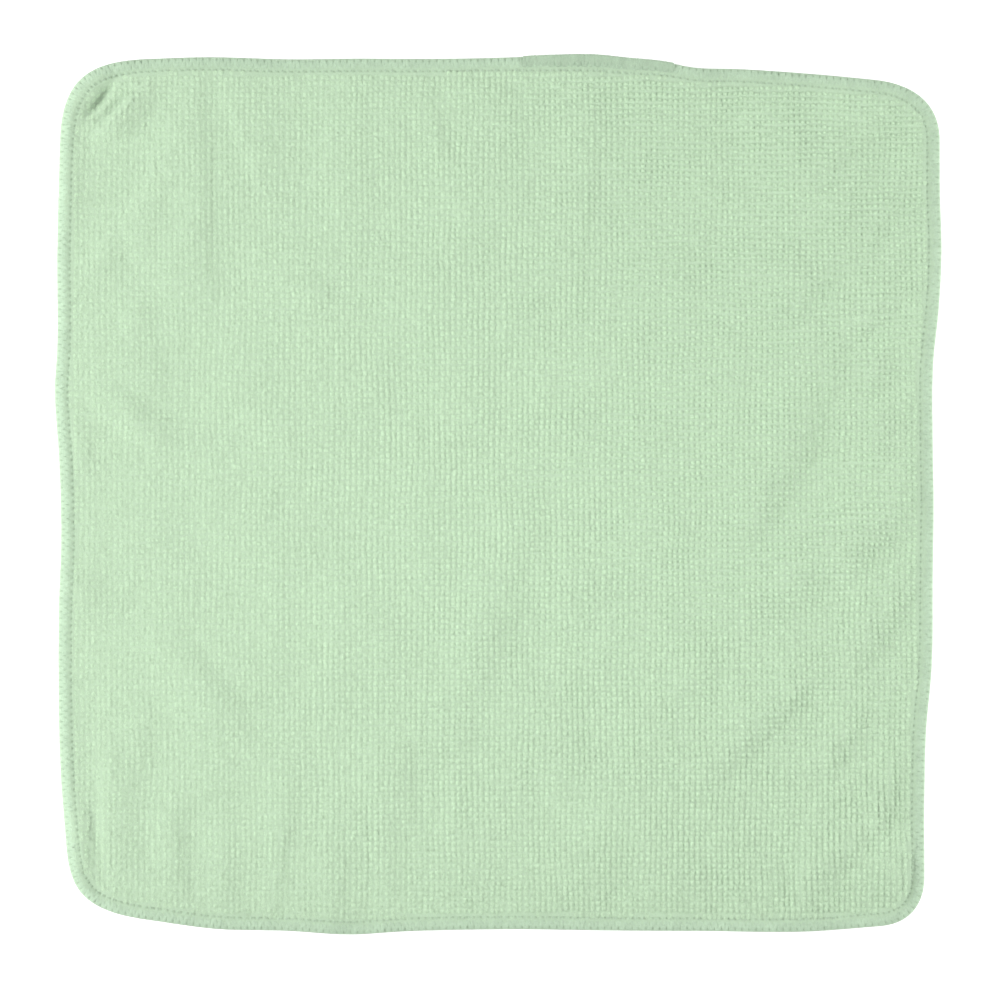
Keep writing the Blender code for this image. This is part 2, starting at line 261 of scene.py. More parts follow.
# %% The fold table, and the height that the folds give
Fold = namedtuple("Fold", "name x0 y0 x1 y1 bow height left right")
FOLDS = (
    # from the turned corner down the left side
    Fold("pucker", -119.5, 147.5, -144.0, 122.5, 1.0, 2.9, 2.8, 10.5),
    Fold("lip", -133.0, 153.5, -153.5, 130.0, 0.5, 0.8, 3.6, 3.6),
    Fold("fan", -108.0, 146.0, -142.0, 76.0, 4.5, 1.3, 6.0, 12.0),
    Fold("hem pull", -150.0, 134.0, -150.5, 80.0, 0.5, 0.8, 5.0, 5.5),
    Fold("long crease", -106.0, 160.0, -102.0, 48.0, -0.5, 1.05, 24.0, 5.4),
    Fold("slant", -99.0, 154.0, -74.0, 88.0, 0.0, 1.2, 5.5, 18.0),
    Fold("left fan", -129.0, 96.0, -147.0, 72.0, 0.0, 1.2, 7.0, 9.0),
    Fold("upper blot", -126.0, 96.0, -122.0, 76.0, 0.0, 0.7, 8.0, 7.0),
    Fold("dint", -131.0, 70.0, -121.0, 54.0, 0.0, 1.1, 8.0, 7.5),
    Fold("left swell", -126.0, 56.0, -120.0, 34.0, 0.0, 0.8, 13.0, 8.0),
    Fold("left slant", -146.0, 40.0, -110.0, 14.0, 0.0, 1.7, 9.0, 9.0),
    Fold("left hem pull", -148.0, 30.0, -143.0, 0.0, 0.0, 0.6, 4.0, 4.5),
    Fold("small dint", -64.5, 78.0, -60.5, 64.0, 0.0, 0.8, 8.0, 4.0),
    Fold("small blot", -91.0, 43.0, -88.0, 28.0, 0.0, 0.4, 7.0, 4.5),
    Fold("middle blot", -76.0, 34.0, -71.0, 8.0, 0.0, 0.5, 10.0, 6.0),
    # the lower left
    Fold("low slant", -127.0, -41.0, -83.0, -95.0, 1.0, 1.9, 16.0, 10.0),
    Fold("bright spot", -146.0, -24.0, -144.0, -44.0, 0.0, 0.6, 5.0, 9.0),
    Fold("corner pull", -134.0, -62.0, -131.0, -158.0, -4.0, 1.6, 5.0, 16.0),
    Fold("turned edge", -148.0, -96.0, -143.0, -146.0, 0.0, 1.4, 5.0, 4.6),
    Fold("nick", -125.0, -66.0, -124.0, -108.0, 0.0, 0.4, 6.0, 5.0),
    # gathers along the bottom hem, from the left
    Fold("gather 1", -116.0, -96.0, -114.0, -152.0, 1.0, 1.3, 12.0, 6.4),
    Fold("gather 2", -97.0, -98.0, -94.0, -164.0, 0.0, 0.5, 8.0, 5.0),
    Fold("gather 3", -73.0, -88.0, -82.0, -160.0, 0.0, 1.0, 6.0, 6.0),
    Fold("gather 4", -58.5, -92.0, -57.0, -164.0, 0.0, 0.6, 8.0, 4.6),
    Fold("gather 5", -43.5, -60.0, -38.5, -166.0, -0.5, 1.3, 5.0, 9.0),
    Fold("gather 6", -36.0, -76.0, -31.0, -124.0, 0.0, 0.8, 7.0, 4.8),
    Fold("gather 7", -15.0, -78.0, -17.0, -130.0, 0.0, 0.5, 5.0, 7.0),
    Fold("gather 8", 110.0, -106.0, 105.0, -162.0, 0.0, 1.8, 7.0, 14.0),
    # the middle
    Fold("first rib", -79.0, -6.0, -76.5, -76.0, 0.0, 0.4, 6.0, 5.5),
    Fold("second rib", -57.5, -16.0, -56.0, -88.0, 0.0, 0.6, 6.0, 6.0),
    Fold("long swell", 13.0, 24.0, -19.0, -98.0, 0.5, 1.6, 18.0, 13.0),
    Fold("mid crease", 20.0, -52.0, 22.0, -142.0, 0.0, 0.5, 4.4, 12.0),
    Fold("top crease", 34.0, 164.0, 23.0, 38.0, -0.5, 0.7, 11.0, 6.5),
    Fold("top left crease", -30.0, 158.0, -17.0, 104.0, 0.0, 0.7, 9.0, 5.0),
    Fold("faint crease", -31.0, 36.0, -29.0, 6.0, 0.0, 0.6, 9.0, 5.0),
    # the right side, from the top
    Fold("top right slant", 125.0, 130.0, 106.0, 103.0, 0.0, 1.4, 9.0, 6.0),
    Fold("right slant", 127.0, 91.0, 92.0, 56.0, -1.0, 2.1, 12.0, 6.5),
    Fold("right patch", 140.0, 110.0, 122.0, 80.0, 0.0, 1.7, 9.0, 7.0),
    Fold("right hem roll", 155.0, 154.0, 156.0, 44.0, 0.0, 1.3, 13.0, 6.0),
    Fold("right hem curl", 151.5, 40.0, 150.5, -128.0, 0.0, 0.9, 6.0, 6.0),
    Fold("right blot", 140.0, 50.0, 122.0, 36.0, 0.0, 1.8, 7.0, 5.5),
    Fold("upper curve", 146.0, 73.0, 112.0, 49.0, -1.0, 2.2, 11.0, 6.0),
    Fold("lower curve", 118.0, 66.0, 70.0, -34.0, 7.0, 2.3, 20.0, 8.5),
    Fold("lower blot", 138.0, 30.0, 126.0, 10.0, 0.0, 1.0, 7.0, 5.5),
    Fold("right crease", 149.0, 9.0, 111.0, -40.0, 0.0, 1.4, 8.0, 6.5),
    Fold("right ridge", 152.0, 8.0, 72.0, -52.0, -1.5, 2.4, 9.0, 14.0),
    Fold("hem crease", 152.0, -16.0, 110.0, -72.0, 1.5, 1.9, 9.0, 7.0),
    Fold("low right slant", 122.0, -48.0, 58.0, -112.0, 0.0, 2.6, 20.0, 8.0),
    Fold("short slant", 127.0, -70.0, 107.0, -104.0, 1.0, 2.0, 9.0, 5.5),
    Fold("edge slant", 138.5, -86.0, 130.0, -128.0, 0.0, 2.0, 8.0, 5.0),
    Fold("corner slant", 137.0, -108.0, 105.0, -140.0, 0.0, 1.6, 9.0, 6.0),
    Fold("corner lump", 144.5, -114.0, 137.0, -152.0, 0.0, 2.0, 16.0, 5.0),
)
# a dip beside the pucker
POCKET = Fold("pocket", -132.5, 148.0, -147.0, 128.8, 0.3, -2.1, 1.9, 2.8)
# Under the folds the whole cloth is a little uneven: long, low waves, each its own way.
WAVES = 14
WAVE_HEIGHT = 0.06
SHORTEST_WAVE, LONGEST_WAVE = 22.0, 60.0
WAVE_SEED = 4


def ridge(fold, x, y):
    """The fold's height at places on the cloth."""
    run_x, run_y = fold.x1 - fold.x0, fold.y1 - fold.y0
    length = math.hypot(run_x, run_y)
    share = ((x - fold.x0) * run_x + (y - fold.y0) * run_y) / length**2
    aside = ((y - fold.y0) * run_x - (x - fold.x0) * run_y) / length - fold.bow * 4 * share * (1 - share)
    width = np.where(aside > 0, fold.right, fold.left)
    return fold.height * soft_bump(2 * share - 1) * soft_bump(aside / width)


def unevenness(x, y):
    """The long waves, never below the table."""
    dice = random.Random(WAVE_SEED)
    height = WAVES * WAVE_HEIGHT * 0.5
    for _ in range(WAVES):
        heading, start = dice.uniform(0, math.pi), dice.uniform(0, 2 * math.pi)
        turn = 2 * math.pi / dice.uniform(SHORTEST_WAVE, LONGEST_WAVE)
        walked = x * math.cos(heading) + y * math.sin(heading)
        height = height + WAVE_HEIGHT * np.sin(turn * walked + start)
    return np.maximum(height, 0.0)


def lift(x, y):
    """How high the folds and the unevenness carry the cloth's underside over the table."""
    return unevenness(x, y) + sum(ridge(fold, x, y) for fold in FOLDS)


print(f"{len(FOLDS)} folds, the highest {max(f.height for f in FOLDS)} mm")

# %% [markdown]
# ## The knitted ground
# Under the loops lies the knit that carries them, rolled over at its edge and pricked by the needle. It is
# one closed sheet. Rows of points run round the hem, so that the roll and the needle holes are in its shape,
# and both faces are then filled with triangles. A grid with a round outline cut from it would be simpler,
# but its edge would be stepped.
#
# Each point also notes how full the pile is there, 0 under the seam and 1 on the body, how far the folds
# carry it, and how light its colour is, with painted shade under the seam, between stitches and in the pocket.

# %% Rows of the hem
NEEDLE_LINE = 4.65  # how far in from the edge the needle went
# strip: how much of the bare strip in the turned corner lies outside this row
# pile: how full the pile is, hole: how deep the needle holes are
# tone: how light the row is, with painted shade under the threads and by the foot of the pile, and between:
# painted shade between two stitches, where the threads part and in the needle holes
HemRow = namedtuple("HemRow", "name inset height strip pile hole tone between")
GROUND_TOP = 2.0
GROUND_UNDER = 0.6
UPPER_ROWS = (
    HemRow("outermost line", 0.25, 0.75, 0.0, 0.0, 0.0, 0.4, 0.1),
    HemRow("turn of the roll", 0.6, 1.03, 0.0, 0.0, 0.08, 0.4, 0.0),
    HemRow("outer slope", 1.6, 1.5, 0.0, 0.0, 0.12, 0.2, -1.0),
    HemRow("crown of the roll", 2.9, 1.92, 0.0, 0.0, 0.0, 0.0, -0.3),
    HemRow("under the looper threads", 4.0, 1.95, 0.0, 0.0, 0.0, -0.15, -0.15),
    HemRow("outer rim of the holes", 4.3, 1.92, 0.0, 0.0, 0.2, 0.05, -0.7),
    HemRow("needle line", NEEDLE_LINE, 1.9, 0.0, 0.0, 0.45, 0.35, -1.3),
    HemRow("inner rim of the holes", 4.95, 1.91, 0.2, 0.0, 0.2, 0.25, -0.7),
    HemRow("bare strip", 5.1, 1.93, 0.62, 0.0, 0.0, 0.15, 0.15),
    HemRow("foot of the pile", 5.15, 1.93, 0.85, 0.0, 0.0, 0.15, 0.15),
    HemRow("first loops", 5.4, 1.95, 1.0, 0.55, 0.0, 0.15, 0.15),
    HemRow("full pile", 7.0, GROUND_TOP, 1.0, 1.0, 0.0, 0.3, 0.3),
)
LOWER_ROWS = (
    HemRow("turn of the roll", 0.5, 0.45, 0.0, 0.0, 0.0, 0.2, -0.6),
    HemRow("bottom of the roll", 1.6, 0.3, 0.0, 0.0, 0.0, 0.2, 0.2),
    HemRow("needle line underneath", NEEDLE_LINE, 0.4, 0.0, 0.0, -0.2, 0.2, -0.6),
    HemRow("first loops underneath", 5.0, 0.55, 0.0, 0.6, 0.0, 0.2, 0.2),
    HemRow("full pile underneath", 6.0, GROUND_UNDER, 0.0, 1.0, 0.0, 0.4, 0.4),
)
BODY_TONE = 0.4
# how much of the gap between two stitches there is at each of the four steps along the edge
GAP_SHOWS = (1.0, 0.15, 0.0, 0.15)
FACE_STEP = 2.6  # spacing of the points over the upper face
UNDER_STEP = 4.0
POCKET_STEP = 0.9  # and round the pocket
CLEAR_OF_RIM = 0.55  # the grid's points keep this share of their spacing away from the rim
POCKET_UNDER = 0.3  # share of the pocket's depth that shows on the lower face
# painted shade: HOLLOW_SHADE darkens the ground's colour for each millimetre down into the pocket
HOLLOW_SHADE = 0.35  # how much deeper the ground looks for each millimetre down into the pocket
BARE_BELOW = 2.45  # the loops dwindle on the way down to this depth in it

# %% How wide the hem is from place to place
Spread = namedtuple("Spread", "name x y reach extra")
SPREADS = (
    Spread("corner where the machine turned", -145.5, 144.5, 30.0, 0.5),
    Spread("lap where the overlock starts and ends", 32.0, 153.0, 36.0, 1.2),
)
# In that corner the pile was pressed away from the seam, and a bare strip shows inside it.
BARE_STRIP = Spread("turned corner", -145.5, 144.5, 24.0, 0.4)
# The left hem lies a little flatter than the others, so it shows more of itself.
LEFT_HEM_WIDER = 0.3
LEFT_FROM, LEFT_TO = 143.0, 151.0  # how far out the corners give way to the side


def widen(x, y):
    """How much wider than usual the hem is, at places along the edge."""
    wider = sum(s.extra * soft_bump(np.hypot(x - s.x, y - s.y) / s.reach) for s in SPREADS)
    return wider + LEFT_HEM_WIDER * np.clip((-x - LEFT_FROM) / (LEFT_TO - LEFT_FROM), 0, 1)


def carry(x, y, upper):
    """How far the folds and the pocket move a face up or down."""
    return lift(x, y) + ridge(POCKET, x, y) * (1 if upper else POCKET_UNDER)


def hem_row(row, upper):
    """One row of points round the hem, as an array of x, y and z."""
    inset = row.inset + widen(edge[:, 0], edge[:, 1]) * min(row.inset / NEEDLE_LINE, 1)
    from_corner = np.hypot(edge[:, 0] - BARE_STRIP.x, edge[:, 1] - BARE_STRIP.y)
    inset = inset + BARE_STRIP.extra * row.strip * soft_bump(from_corner / BARE_STRIP.reach)
    place = edge + inward * inset[:, None]
    hole = row.hole * np.resize(GAP_SHOWS, len(edge))
    return np.column_stack([place, row.height - hole + carry(place[:, 0], place[:, 1], upper)])


# %% Fill both faces
def inside(points, loop):
    """Which of the points lie within the closed loop."""
    found = np.zeros(len(points), bool)
    for a, b in zip(loop, np.roll(loop, -1, axis=0)):
        between = (a[1] > points[:, 1]) != (b[1] > points[:, 1])
        rise = b[1] - a[1] if b[1] != a[1] else 1.0
        found ^= between & (points[:, 0] < a[0] + (b[0] - a[0]) * (points[:, 1] - a[1]) / rise)
    return found


def grid_within(rim, step, centre=(0.0, 0.0), reach=PANEL_SIDE / 2 + 2):
    """An even grid of points round centre that keeps clear of the rim."""
    line = np.arange(-reach, reach + step / 2, step)
    points = np.stack(np.meshgrid(line + centre[0], line + centre[1]), -1).reshape(-1, 2)
    points = points[inside(points, rim)]
    tree = KDTree(len(rim))
    for i, place in enumerate(rim):
        tree.insert((place[0], place[1], 0), i)
    tree.balance()
    room = step * CLEAR_OF_RIM
    return np.array([p for p in points if tree.find((p[0], p[1], 0))[2] > room])


def face_points(rim, step):
    """The points that fill a face: an even grid, and a finer one round the pocket."""
    even = grid_within(rim, step)
    middle = np.array([(POCKET.x0 + POCKET.x1) / 2, (POCKET.y0 + POCKET.y1) / 2])
    away = np.linalg.norm(even - middle, axis=1)
    reach = math.hypot(POCKET.x1 - POCKET.x0, POCKET.y1 - POCKET.y0) / 2
    fine = grid_within(rim, POCKET_STEP, middle, reach)
    fine = fine[np.linalg.norm(fine - middle, axis=1) < reach]
    return np.vstack([even[away > reach + step / 2], fine])


def fill(rim, points):
    """Triangles, counter-clockwise from above, over the rim's points followed by the inner ones."""
    flat = [Vector(p) for p in np.vstack([rim, points])]
    count = len(rim)
    seam = [(i, (i + 1) % count) for i in range(count)]
    keep_inside, same_place = 1, 1e-6
    return delaunay_2d_cdt(flat, seam, [], keep_inside, same_place)[2]


def band_of_faces(count, outer, inner):
    """Faces between two rings of points, seen from above. Rings are numbered from the outermost line."""
    pairs = [(i, (i + 1) % count) for i in range(count)]
    return [(outer * count + i, inner * count + i, inner * count + j, outer * count + j) for i, j in pairs]


def ground_mesh():
    """The closed skin of the ground, with what each of its points notes."""
    count = len(edge)
    upper = [hem_row(row, True) for row in UPPER_ROWS]
    lower = [hem_row(row, False) for row in LOWER_ROWS]
    rings = upper + lower
    fullness = [np.full(count, row.pile) for row in UPPER_ROWS + LOWER_ROWS]
    gap = np.resize(GAP_SHOWS, count)
    tone = [row.tone + (row.between - row.tone) * gap for row in UPPER_ROWS + LOWER_ROWS]
    outermost, top_rim, bottom_rim = 0, len(upper) - 1, len(rings) - 1
    faces = []
    for ring in range(top_rim):
        faces += band_of_faces(count, ring, ring + 1)
    faces += [face[::-1] for face in band_of_faces(count, outermost, top_rim + 1)]
    for ring in range(top_rim + 1, bottom_rim):
        faces += [face[::-1] for face in band_of_faces(count, ring, ring + 1)]
    places = list(rings)
    for is_upper, rim, step, base in (
        (True, top_rim, FACE_STEP, GROUND_TOP),
        (False, bottom_rim, UNDER_STEP, GROUND_UNDER),
    ):
        inner = face_points(rings[rim][:, :2], step)
        first = sum(len(p) for p in places) - count
        places.append(np.column_stack([inner, base + carry(inner[:, 0], inner[:, 1], is_upper)]))
        fullness.append(np.ones(len(inner)))
        tone.append(np.full(len(inner), BODY_TONE))
        for triangle in fill(rings[rim][:, :2], inner):
            corners = [rim * count + k if k < count else first + k for k in triangle]
            faces.append(corners if is_upper else corners[::-1])
    places = np.vstack(places)
    hollow = ridge(POCKET, places[:, 0], places[:, 1])
    mesh = bpy.data.meshes.new("knitted_ground")
    mesh.from_pydata((places * MM).tolist(), [], faces)
    write_on_points(mesh, "pile", np.concatenate(fullness) * np.clip(BARE_BELOW + hollow, 0, 1))
    write_on_points(mesh, "carry", lift(places[:, 0], places[:, 1]) * MM)
    # painted shade: the rows' tones, and darker still down in the pocket
    write_on_points(mesh, "tone", np.concatenate(tone) + HOLLOW_SHADE * hollow)
    mesh.shade_smooth()
    return mesh


ground = new_object("knitted_ground", ground_mesh())
check = bmesh.new()
check.from_mesh(ground.data)
open_edges = sum(not e.is_manifold for e in check.edges)
volume = check.calc_volume()
print(f"ground: {triangles_of(ground.data)} triangles, {open_edges} open edges, volume {volume:.6f} m3")
check.free()

# %% [markdown]
# ## A few words for node trees
# Both the loops and the seam are grown by Geometry Nodes, and all the finishes are node trees too. These
# helpers keep a tree as short to read as the sentence that it stands for. put adds a node and joins its
# inputs. math_of, plus, times and vector_of add steps of arithmetic, and ramp turns one range of numbers into
# another.

# %% Helpers for node trees
Given = namedtuple("Given", "name kind value")


def put(tree, kind, inputs=None, **settings):
    """Adds a node, applies its settings, and joins or sets the inputs that are given by name or number."""
    added = tree.nodes.new(kind)
    for name, value in settings.items():
        setattr(added, name, value)
    for key, value in (inputs or {}).items():
        if isinstance(value, bpy.types.NodeSocket):
            tree.links.new(value, added.inputs[key])
        else:
            added.inputs[key].default_value = value
    return added


def math_of(tree, operation, a, b=0.0, clamp=False):
    """One step of arithmetic on two numbers."""
    return put(tree, "ShaderNodeMath", {0: a, 1: b}, operation=operation, use_clamp=clamp).outputs[0]


def plus(tree, *parts):
    """The sum of two or more numbers."""
    total = parts[0]
    for part in parts[1:]:
        total = math_of(tree, "ADD", total, part)
    return total


def times(tree, *parts):
    """The product of two or more numbers."""
    product = parts[0]
    for part in parts[1:]:
        product = math_of(tree, "MULTIPLY", product, part)
    return product


def ramp(tree, value, start=0.0, stop=1.0, low=0.0, high=1.0):
    """From low to high while the value goes from start to stop, and level beyond them."""
    return put(tree, "ShaderNodeMapRange", {0: value, 1: start, 2: stop, 3: low, 4: high}).outputs[0]


def vector_of(tree, operation, a, b=None, scale=None):
    """One step of arithmetic on vectors."""
    inputs = {0: a}
    if b is not None:
        inputs[1] = b
    if scale is not None:
        inputs["Scale"] = scale
    added = put(tree, "ShaderNodeVectorMath", inputs, operation=operation)
    return added.outputs["Vector"]


def noise_of(tree, vector, scale, detail=2.0):
    """A noise texture's value."""
    return put(tree, "ShaderNodeTexNoise", {"Vector": vector, "Scale": scale, "Detail": detail}).outputs[0]


def random_of(tree, low, high, seed, number=None):
    """A random number or vector for each point."""
    is_vector = hasattr(low, "__len__")
    first = 0 if is_vector else 2
    inputs = {first: low, first + 1: high, "Seed": seed}
    if number is not None:
        inputs["ID"] = number
    kind = "FLOAT_VECTOR" if is_vector else "FLOAT"
    return put(tree, "FunctionNodeRandomValue", inputs, data_type=kind).outputs[0 if is_vector else 1]


FLOAT, INTEGER, GEOMETRY = "NodeSocketFloat", "NodeSocketInt", "NodeSocketGeometry"
OBJECT, MATERIAL = "NodeSocketObject", "NodeSocketMaterial"


def new_group(name, kind, given, result):
    """A node group with named inputs and one output. Returns it, its inputs by name, and its output node."""
    group = bpy.data.node_groups.new(name, kind)
    for item in given:
        made = group.interface.new_socket(name=item.name, in_out="INPUT", socket_type=item.kind)
        if item.value is not None:
            made.default_value = item.value
    group.interface.new_socket(name=result.name, in_out="OUTPUT", socket_type=result.kind)
    taken = group.nodes.new("NodeGroupInput").outputs
    return group, {item.name: taken[item.name] for item in given}, group.nodes.new("NodeGroupOutput")


def new_tree(name, given):
    """A Geometry Nodes tree that puts out a mesh."""
    return new_group(name, "GeometryNodeTree", given, Given("Geometry", GEOMETRY, None))


def new_effect(name, given, result):
    """A shader effect that puts out one number, under the given name."""
    return new_group(name, "ShaderNodeTree", given, Given(result, FLOAT, None))


def grown(name, tree, values):
    """An object whose mesh the tree makes from these values, left as a plain mesh with no modifier."""
    thing = new_object(name, bpy.data.meshes.new(name))
    modifier = thing.modifiers.new("grow", "NODES")
    modifier.node_group = tree
    for item in tree.interface.items_tree:
        if item.in_out == "INPUT" and item.name in values:
            modifier[item.identifier] = values[item.name]
    bpy.context.view_layer.update()
    depsgraph = bpy.context.evaluated_depsgraph_get()
    plain = bpy.data.meshes.new_from_object(thing.evaluated_get(depsgraph), depsgraph=depsgraph)
    thing.modifiers.clear()
    thing.data = plain
    plain.name = name
    return thing


# %% [markdown]
# ## Finishes
# Microfibre is matt from straight above and a little bright where it turns away, because its fibres are finer
# than a hair and stand up all over. Two effects are shared by every finish here, so each is a node group: the
# grain of the fibres, and the slow mottle of dye and wear. The shader itself stays in each material.

# %% Shared effects: fibre grain and dye mottle
FIBRE_SIZE = 0.36
FIBRE_STRETCH = (1.2, 0.45, 1.0)  # the noise is finer across the cloth than along it
FIBRE_DETAIL, FIBRE_ROUGHNESS = 3.0, 0.6
PATCH_SIZE = 14.0
PATCH_DETAIL = 4.0


def fibre_grain():
    """Fine, curling fibres: two layers of stretched noise at the given size."""
    given = (Given("Fibre size", FLOAT, FIBRE_SIZE * MM), Given("Curl", FLOAT, 1.5))
    group, value, result = new_effect("fibre grain", given, "Height")
    place = group.nodes.new("ShaderNodeTexCoord").outputs["Object"]
    scale = math_of(group, "DIVIDE", 1.0, value["Fibre size"])
    lengthwise = vector_of(group, "MULTIPLY", place, FIBRE_STRETCH)
    asked = {"Vector": lengthwise, "Scale": scale, "Distortion": value["Curl"]}
    asked |= {"Detail": FIBRE_DETAIL, "Roughness": FIBRE_ROUGHNESS}
    curled = put(group, "ShaderNodeTexNoise", asked)
    group.links.new(curled.outputs[0], result.inputs["Height"])
    return group


def dye_mottle():
    """Slow patches where the dye took a little deeper or the pile lies another way."""
    given = (Given("Patch size", FLOAT, PATCH_SIZE * MM), Given("Streak length", FLOAT, 3.0))
    group, value, result = new_effect("dye mottle", given, "Depth")
    place = group.nodes.new("ShaderNodeTexCoord").outputs["Object"]
    shorter = math_of(group, "DIVIDE", 1.0, value["Streak length"])
    squeeze = put(group, "ShaderNodeCombineXYZ", {"X": 1.0, "Y": shorter, "Z": 1.0})
    drawn = vector_of(group, "MULTIPLY", place, squeeze.outputs[0])
    scale = math_of(group, "DIVIDE", 1.0, value["Patch size"])
    group.links.new(noise_of(group, drawn, scale, PATCH_DETAIL), result.inputs["Depth"])
    return group


GRAIN = fibre_grain()
MOTTLE = dye_mottle()

# %% The three finishes
# tone, mottle, grain: how much the piece's own tone, the dye mottle and the fibre grain each move the colour
# relief: how far the grain stands out as bump, and sheen: how strong the bloom is
Finish = namedtuple("Finish", "name colour tone mottle grain relief sheen")
FINISHES = (
    Finish("mint terry", (0.508, 0.684, 0.474), 0.45, 0.12, 3.2, 0.4, 0.2),
    Finish("knitted ground", (0.465, 0.622, 0.44), 0.6, 0.4, 1.4, 0.3, 0.1),
    Finish("overlock thread", (0.41, 0.547, 0.397), 0.6, 0.3, 2.4, 0.3, 0.15),
)
SPAN = 0.14  # the deepest and the lightest colour are this share off the middle one
MIDDLE = 0.5  # the tone, mottle or grain that leaves the colour as it is
RELIEF_STRENGTH = 0.8
ROUGHEST, LEAST_ROUGH = 1.0, 0.85
# what is the same all over a cloth's surface: hardly any gloss, and a soft bloom where it turns away
MATT = {"Specular IOR Level": 0.15, "Sheen Roughness": 0.6, "Sheen Tint": (0.9, 1.0, 0.9, 1.0)}


def cloth_finish(finish):
    """A matt textile material."""
    material = bpy.data.materials.new(finish.name)
    material.use_nodes = True
    tree = material.node_tree
    surface = tree.nodes["Principled BSDF"]
    tone = put(tree, "ShaderNodeAttribute", {}, attribute_name="tone").outputs["Fac"]
    grain = put(tree, "ShaderNodeGroup", {"Fibre size": FIBRE_SIZE * MM}, node_tree=GRAIN).outputs[0]
    mottle = put(tree, "ShaderNodeGroup", {"Patch size": PATCH_SIZE * MM}, node_tree=MOTTLE).outputs[0]
    mix = MIDDLE
    for found, weight in ((tone, finish.tone), (mottle, finish.mottle), (grain, finish.grain)):
        off_middle = math_of(tree, "SUBTRACT", found, MIDDLE)
        mix = plus(tree, mix, times(tree, off_middle, weight))
    deep, light = ([*(part * share for part in finish.colour), 1] for share in (1 - SPAN, 1 + SPAN))
    colour = put(tree, "ShaderNodeMix", {0: mix, 6: deep, 7: light}, data_type="RGBA", clamp_factor=False)
    tree.links.new(colour.outputs[2], surface.inputs["Base Color"])
    raised = {"Height": grain, "Strength": RELIEF_STRENGTH, "Distance": finish.relief * MM}
    tree.links.new(put(tree, "ShaderNodeBump", raised).outputs["Normal"], surface.inputs["Normal"])
    tree.links.new(ramp(tree, grain, low=LEAST_ROUGH, high=ROUGHEST), surface.inputs["Roughness"])
    set_inputs(surface, {**MATT, "Sheen Weight": finish.sheen})
    return material


terry, knit, thread = (cloth_finish(finish) for finish in FINISHES)
ground.data.materials.append(knit)
print("finishes:", terry.name, "|", knit.name, "|", thread.name)

# %% [markdown]
# ## The pile
# Each loop of the terry is a soft bead, pressed over by use. They stand in straight rows, wales up the cloth
# and courses across it, both 1.94 mm apart. A particle system could scatter them, but knitting isn't
# scattered. So the tree starts from a plain grid, lets it wander a little as worn cloth does, drops each
# crossing onto the ground with a ray, and plants a loop there that leans its own way. In some patches the
# loops stand apart as beads, and in others they lie nose to tail and read as ribs.
#
# A loop is a dome of a few faces. There are about 23,000 on each face of the cloth, so the ones that lie on
# the table, and are never seen close to, have fewer still.

# %% One loop, and the rings that shape it
DomeRing = namedtuple("DomeRing", "name height width")
DOME = (
    DomeRing("root", 0.0, 1.0),
    DomeRing("shoulder", 0.64, 0.64),
)


def loop_mesh(name, sides):
    """A dome of unit half-width and height, closed by one point at its top."""
    mesh = bmesh.new()
    turns = [2 * math.pi * (i + 0.5) / sides for i in range(sides)]
    root, shoulder = (
        [mesh.verts.new((ring.width * math.cos(t), ring.width * math.sin(t), ring.height)) for t in turns]
        for ring in DOME
    )
    top = mesh.verts.new((0, 0, 1))
    for i in range(sides):
        j = (i + 1) % sides
        mesh.faces.new((root[i], root[j], shoulder[j], shoulder[i]))
        mesh.faces.new((shoulder[i], shoulder[j], top))
    return built(name, mesh)


# %% Steps that the trees share
MAP_SPAN = 320 * MM  # the square that the export's own map of the pile covers
NOISE_LOW, NOISE_HIGH = 0.3, 0.7  # soft noise seldom leaves this range


def vector_from(tree, x, y, z):
    """Three numbers as one vector."""
    return put(tree, "ShaderNodeCombineXYZ", {0: x, 1: y, 2: z}).outputs[0]


def upward(tree, height):
    """A step straight up."""
    return vector_from(tree, 0.0, 0.0, height)


def parts_of(tree, vector):
    """The x, y and z of a vector."""
    return put(tree, "ShaderNodeSeparateXYZ", {0: vector}).outputs


def position(tree):
    """Where each point is."""
    return put(tree, "GeometryNodeInputPosition").outputs[0]


def number_of(tree):
    """Each point's own number."""
    return put(tree, "GeometryNodeInputIndex").outputs[0]


def mesh_of(tree, told):
    """The mesh of an object that the tree is told."""
    return put(tree, "GeometryNodeObjectInfo", {0: told}).outputs[4]


def moved(tree, geometry, step):
    """The geometry, moved by a step."""
    return put(tree, "GeometryNodeSetPosition", {0: geometry, 3: step}).outputs[0]


def placed(tree, geometry, place):
    """The geometry, put at a place."""
    return put(tree, "GeometryNodeSetPosition", {0: geometry, 2: place}).outputs[0]


def copies_on(tree, points, thing, size, turn=(0.0, 0.0, 0.0)):
    """A copy of the thing on each point, as plain mesh."""
    laid = put(tree, "GeometryNodeInstanceOnPoints", {0: points, 2: thing, 5: turn, 6: size}).outputs[0]
    return put(tree, "GeometryNodeRealizeInstances", {0: laid}).outputs[0]


def noted(tree, name, kind="FLOAT"):
    """What is noted on each point under a name."""
    return put(tree, "GeometryNodeInputNamedAttribute", {0: name}, data_type=kind).outputs[0]


def note(tree, geometry, name, value, kind="FLOAT"):
    """Writes a value on each point under a name, and returns the geometry and a reader of that name."""
    inputs = {0: geometry, 2: name, 3: value}
    written = put(tree, "GeometryNodeStoreNamedAttribute", inputs, data_type=kind).outputs[0]
    return written, noted(tree, name, kind)


def noise_step(tree, place, size, amount, detail=1.0):
    """A soft random step of up to half of amount each way, that changes over the given size."""
    scale = math_of(tree, "DIVIDE", 1.0, size)
    colour = put(tree, "ShaderNodeTexNoise", {"Vector": place, "Scale": scale, "Detail": detail}).outputs[1]
    return vector_of(tree, "SCALE", vector_of(tree, "SUBTRACT", colour, (0.5, 0.5, 0.5)), scale=amount)


def soft_patches(tree, place, across, along):
    """A value from 0 to 1 that changes softly over one distance across the cloth and another along it."""
    shrunk = vector_of(tree, "DIVIDE", place, vector_from(tree, across, along, 1.0))
    return ramp(tree, noise_of(tree, shrunk, 1.0, 1.0), NOISE_LOW, NOISE_HIGH)


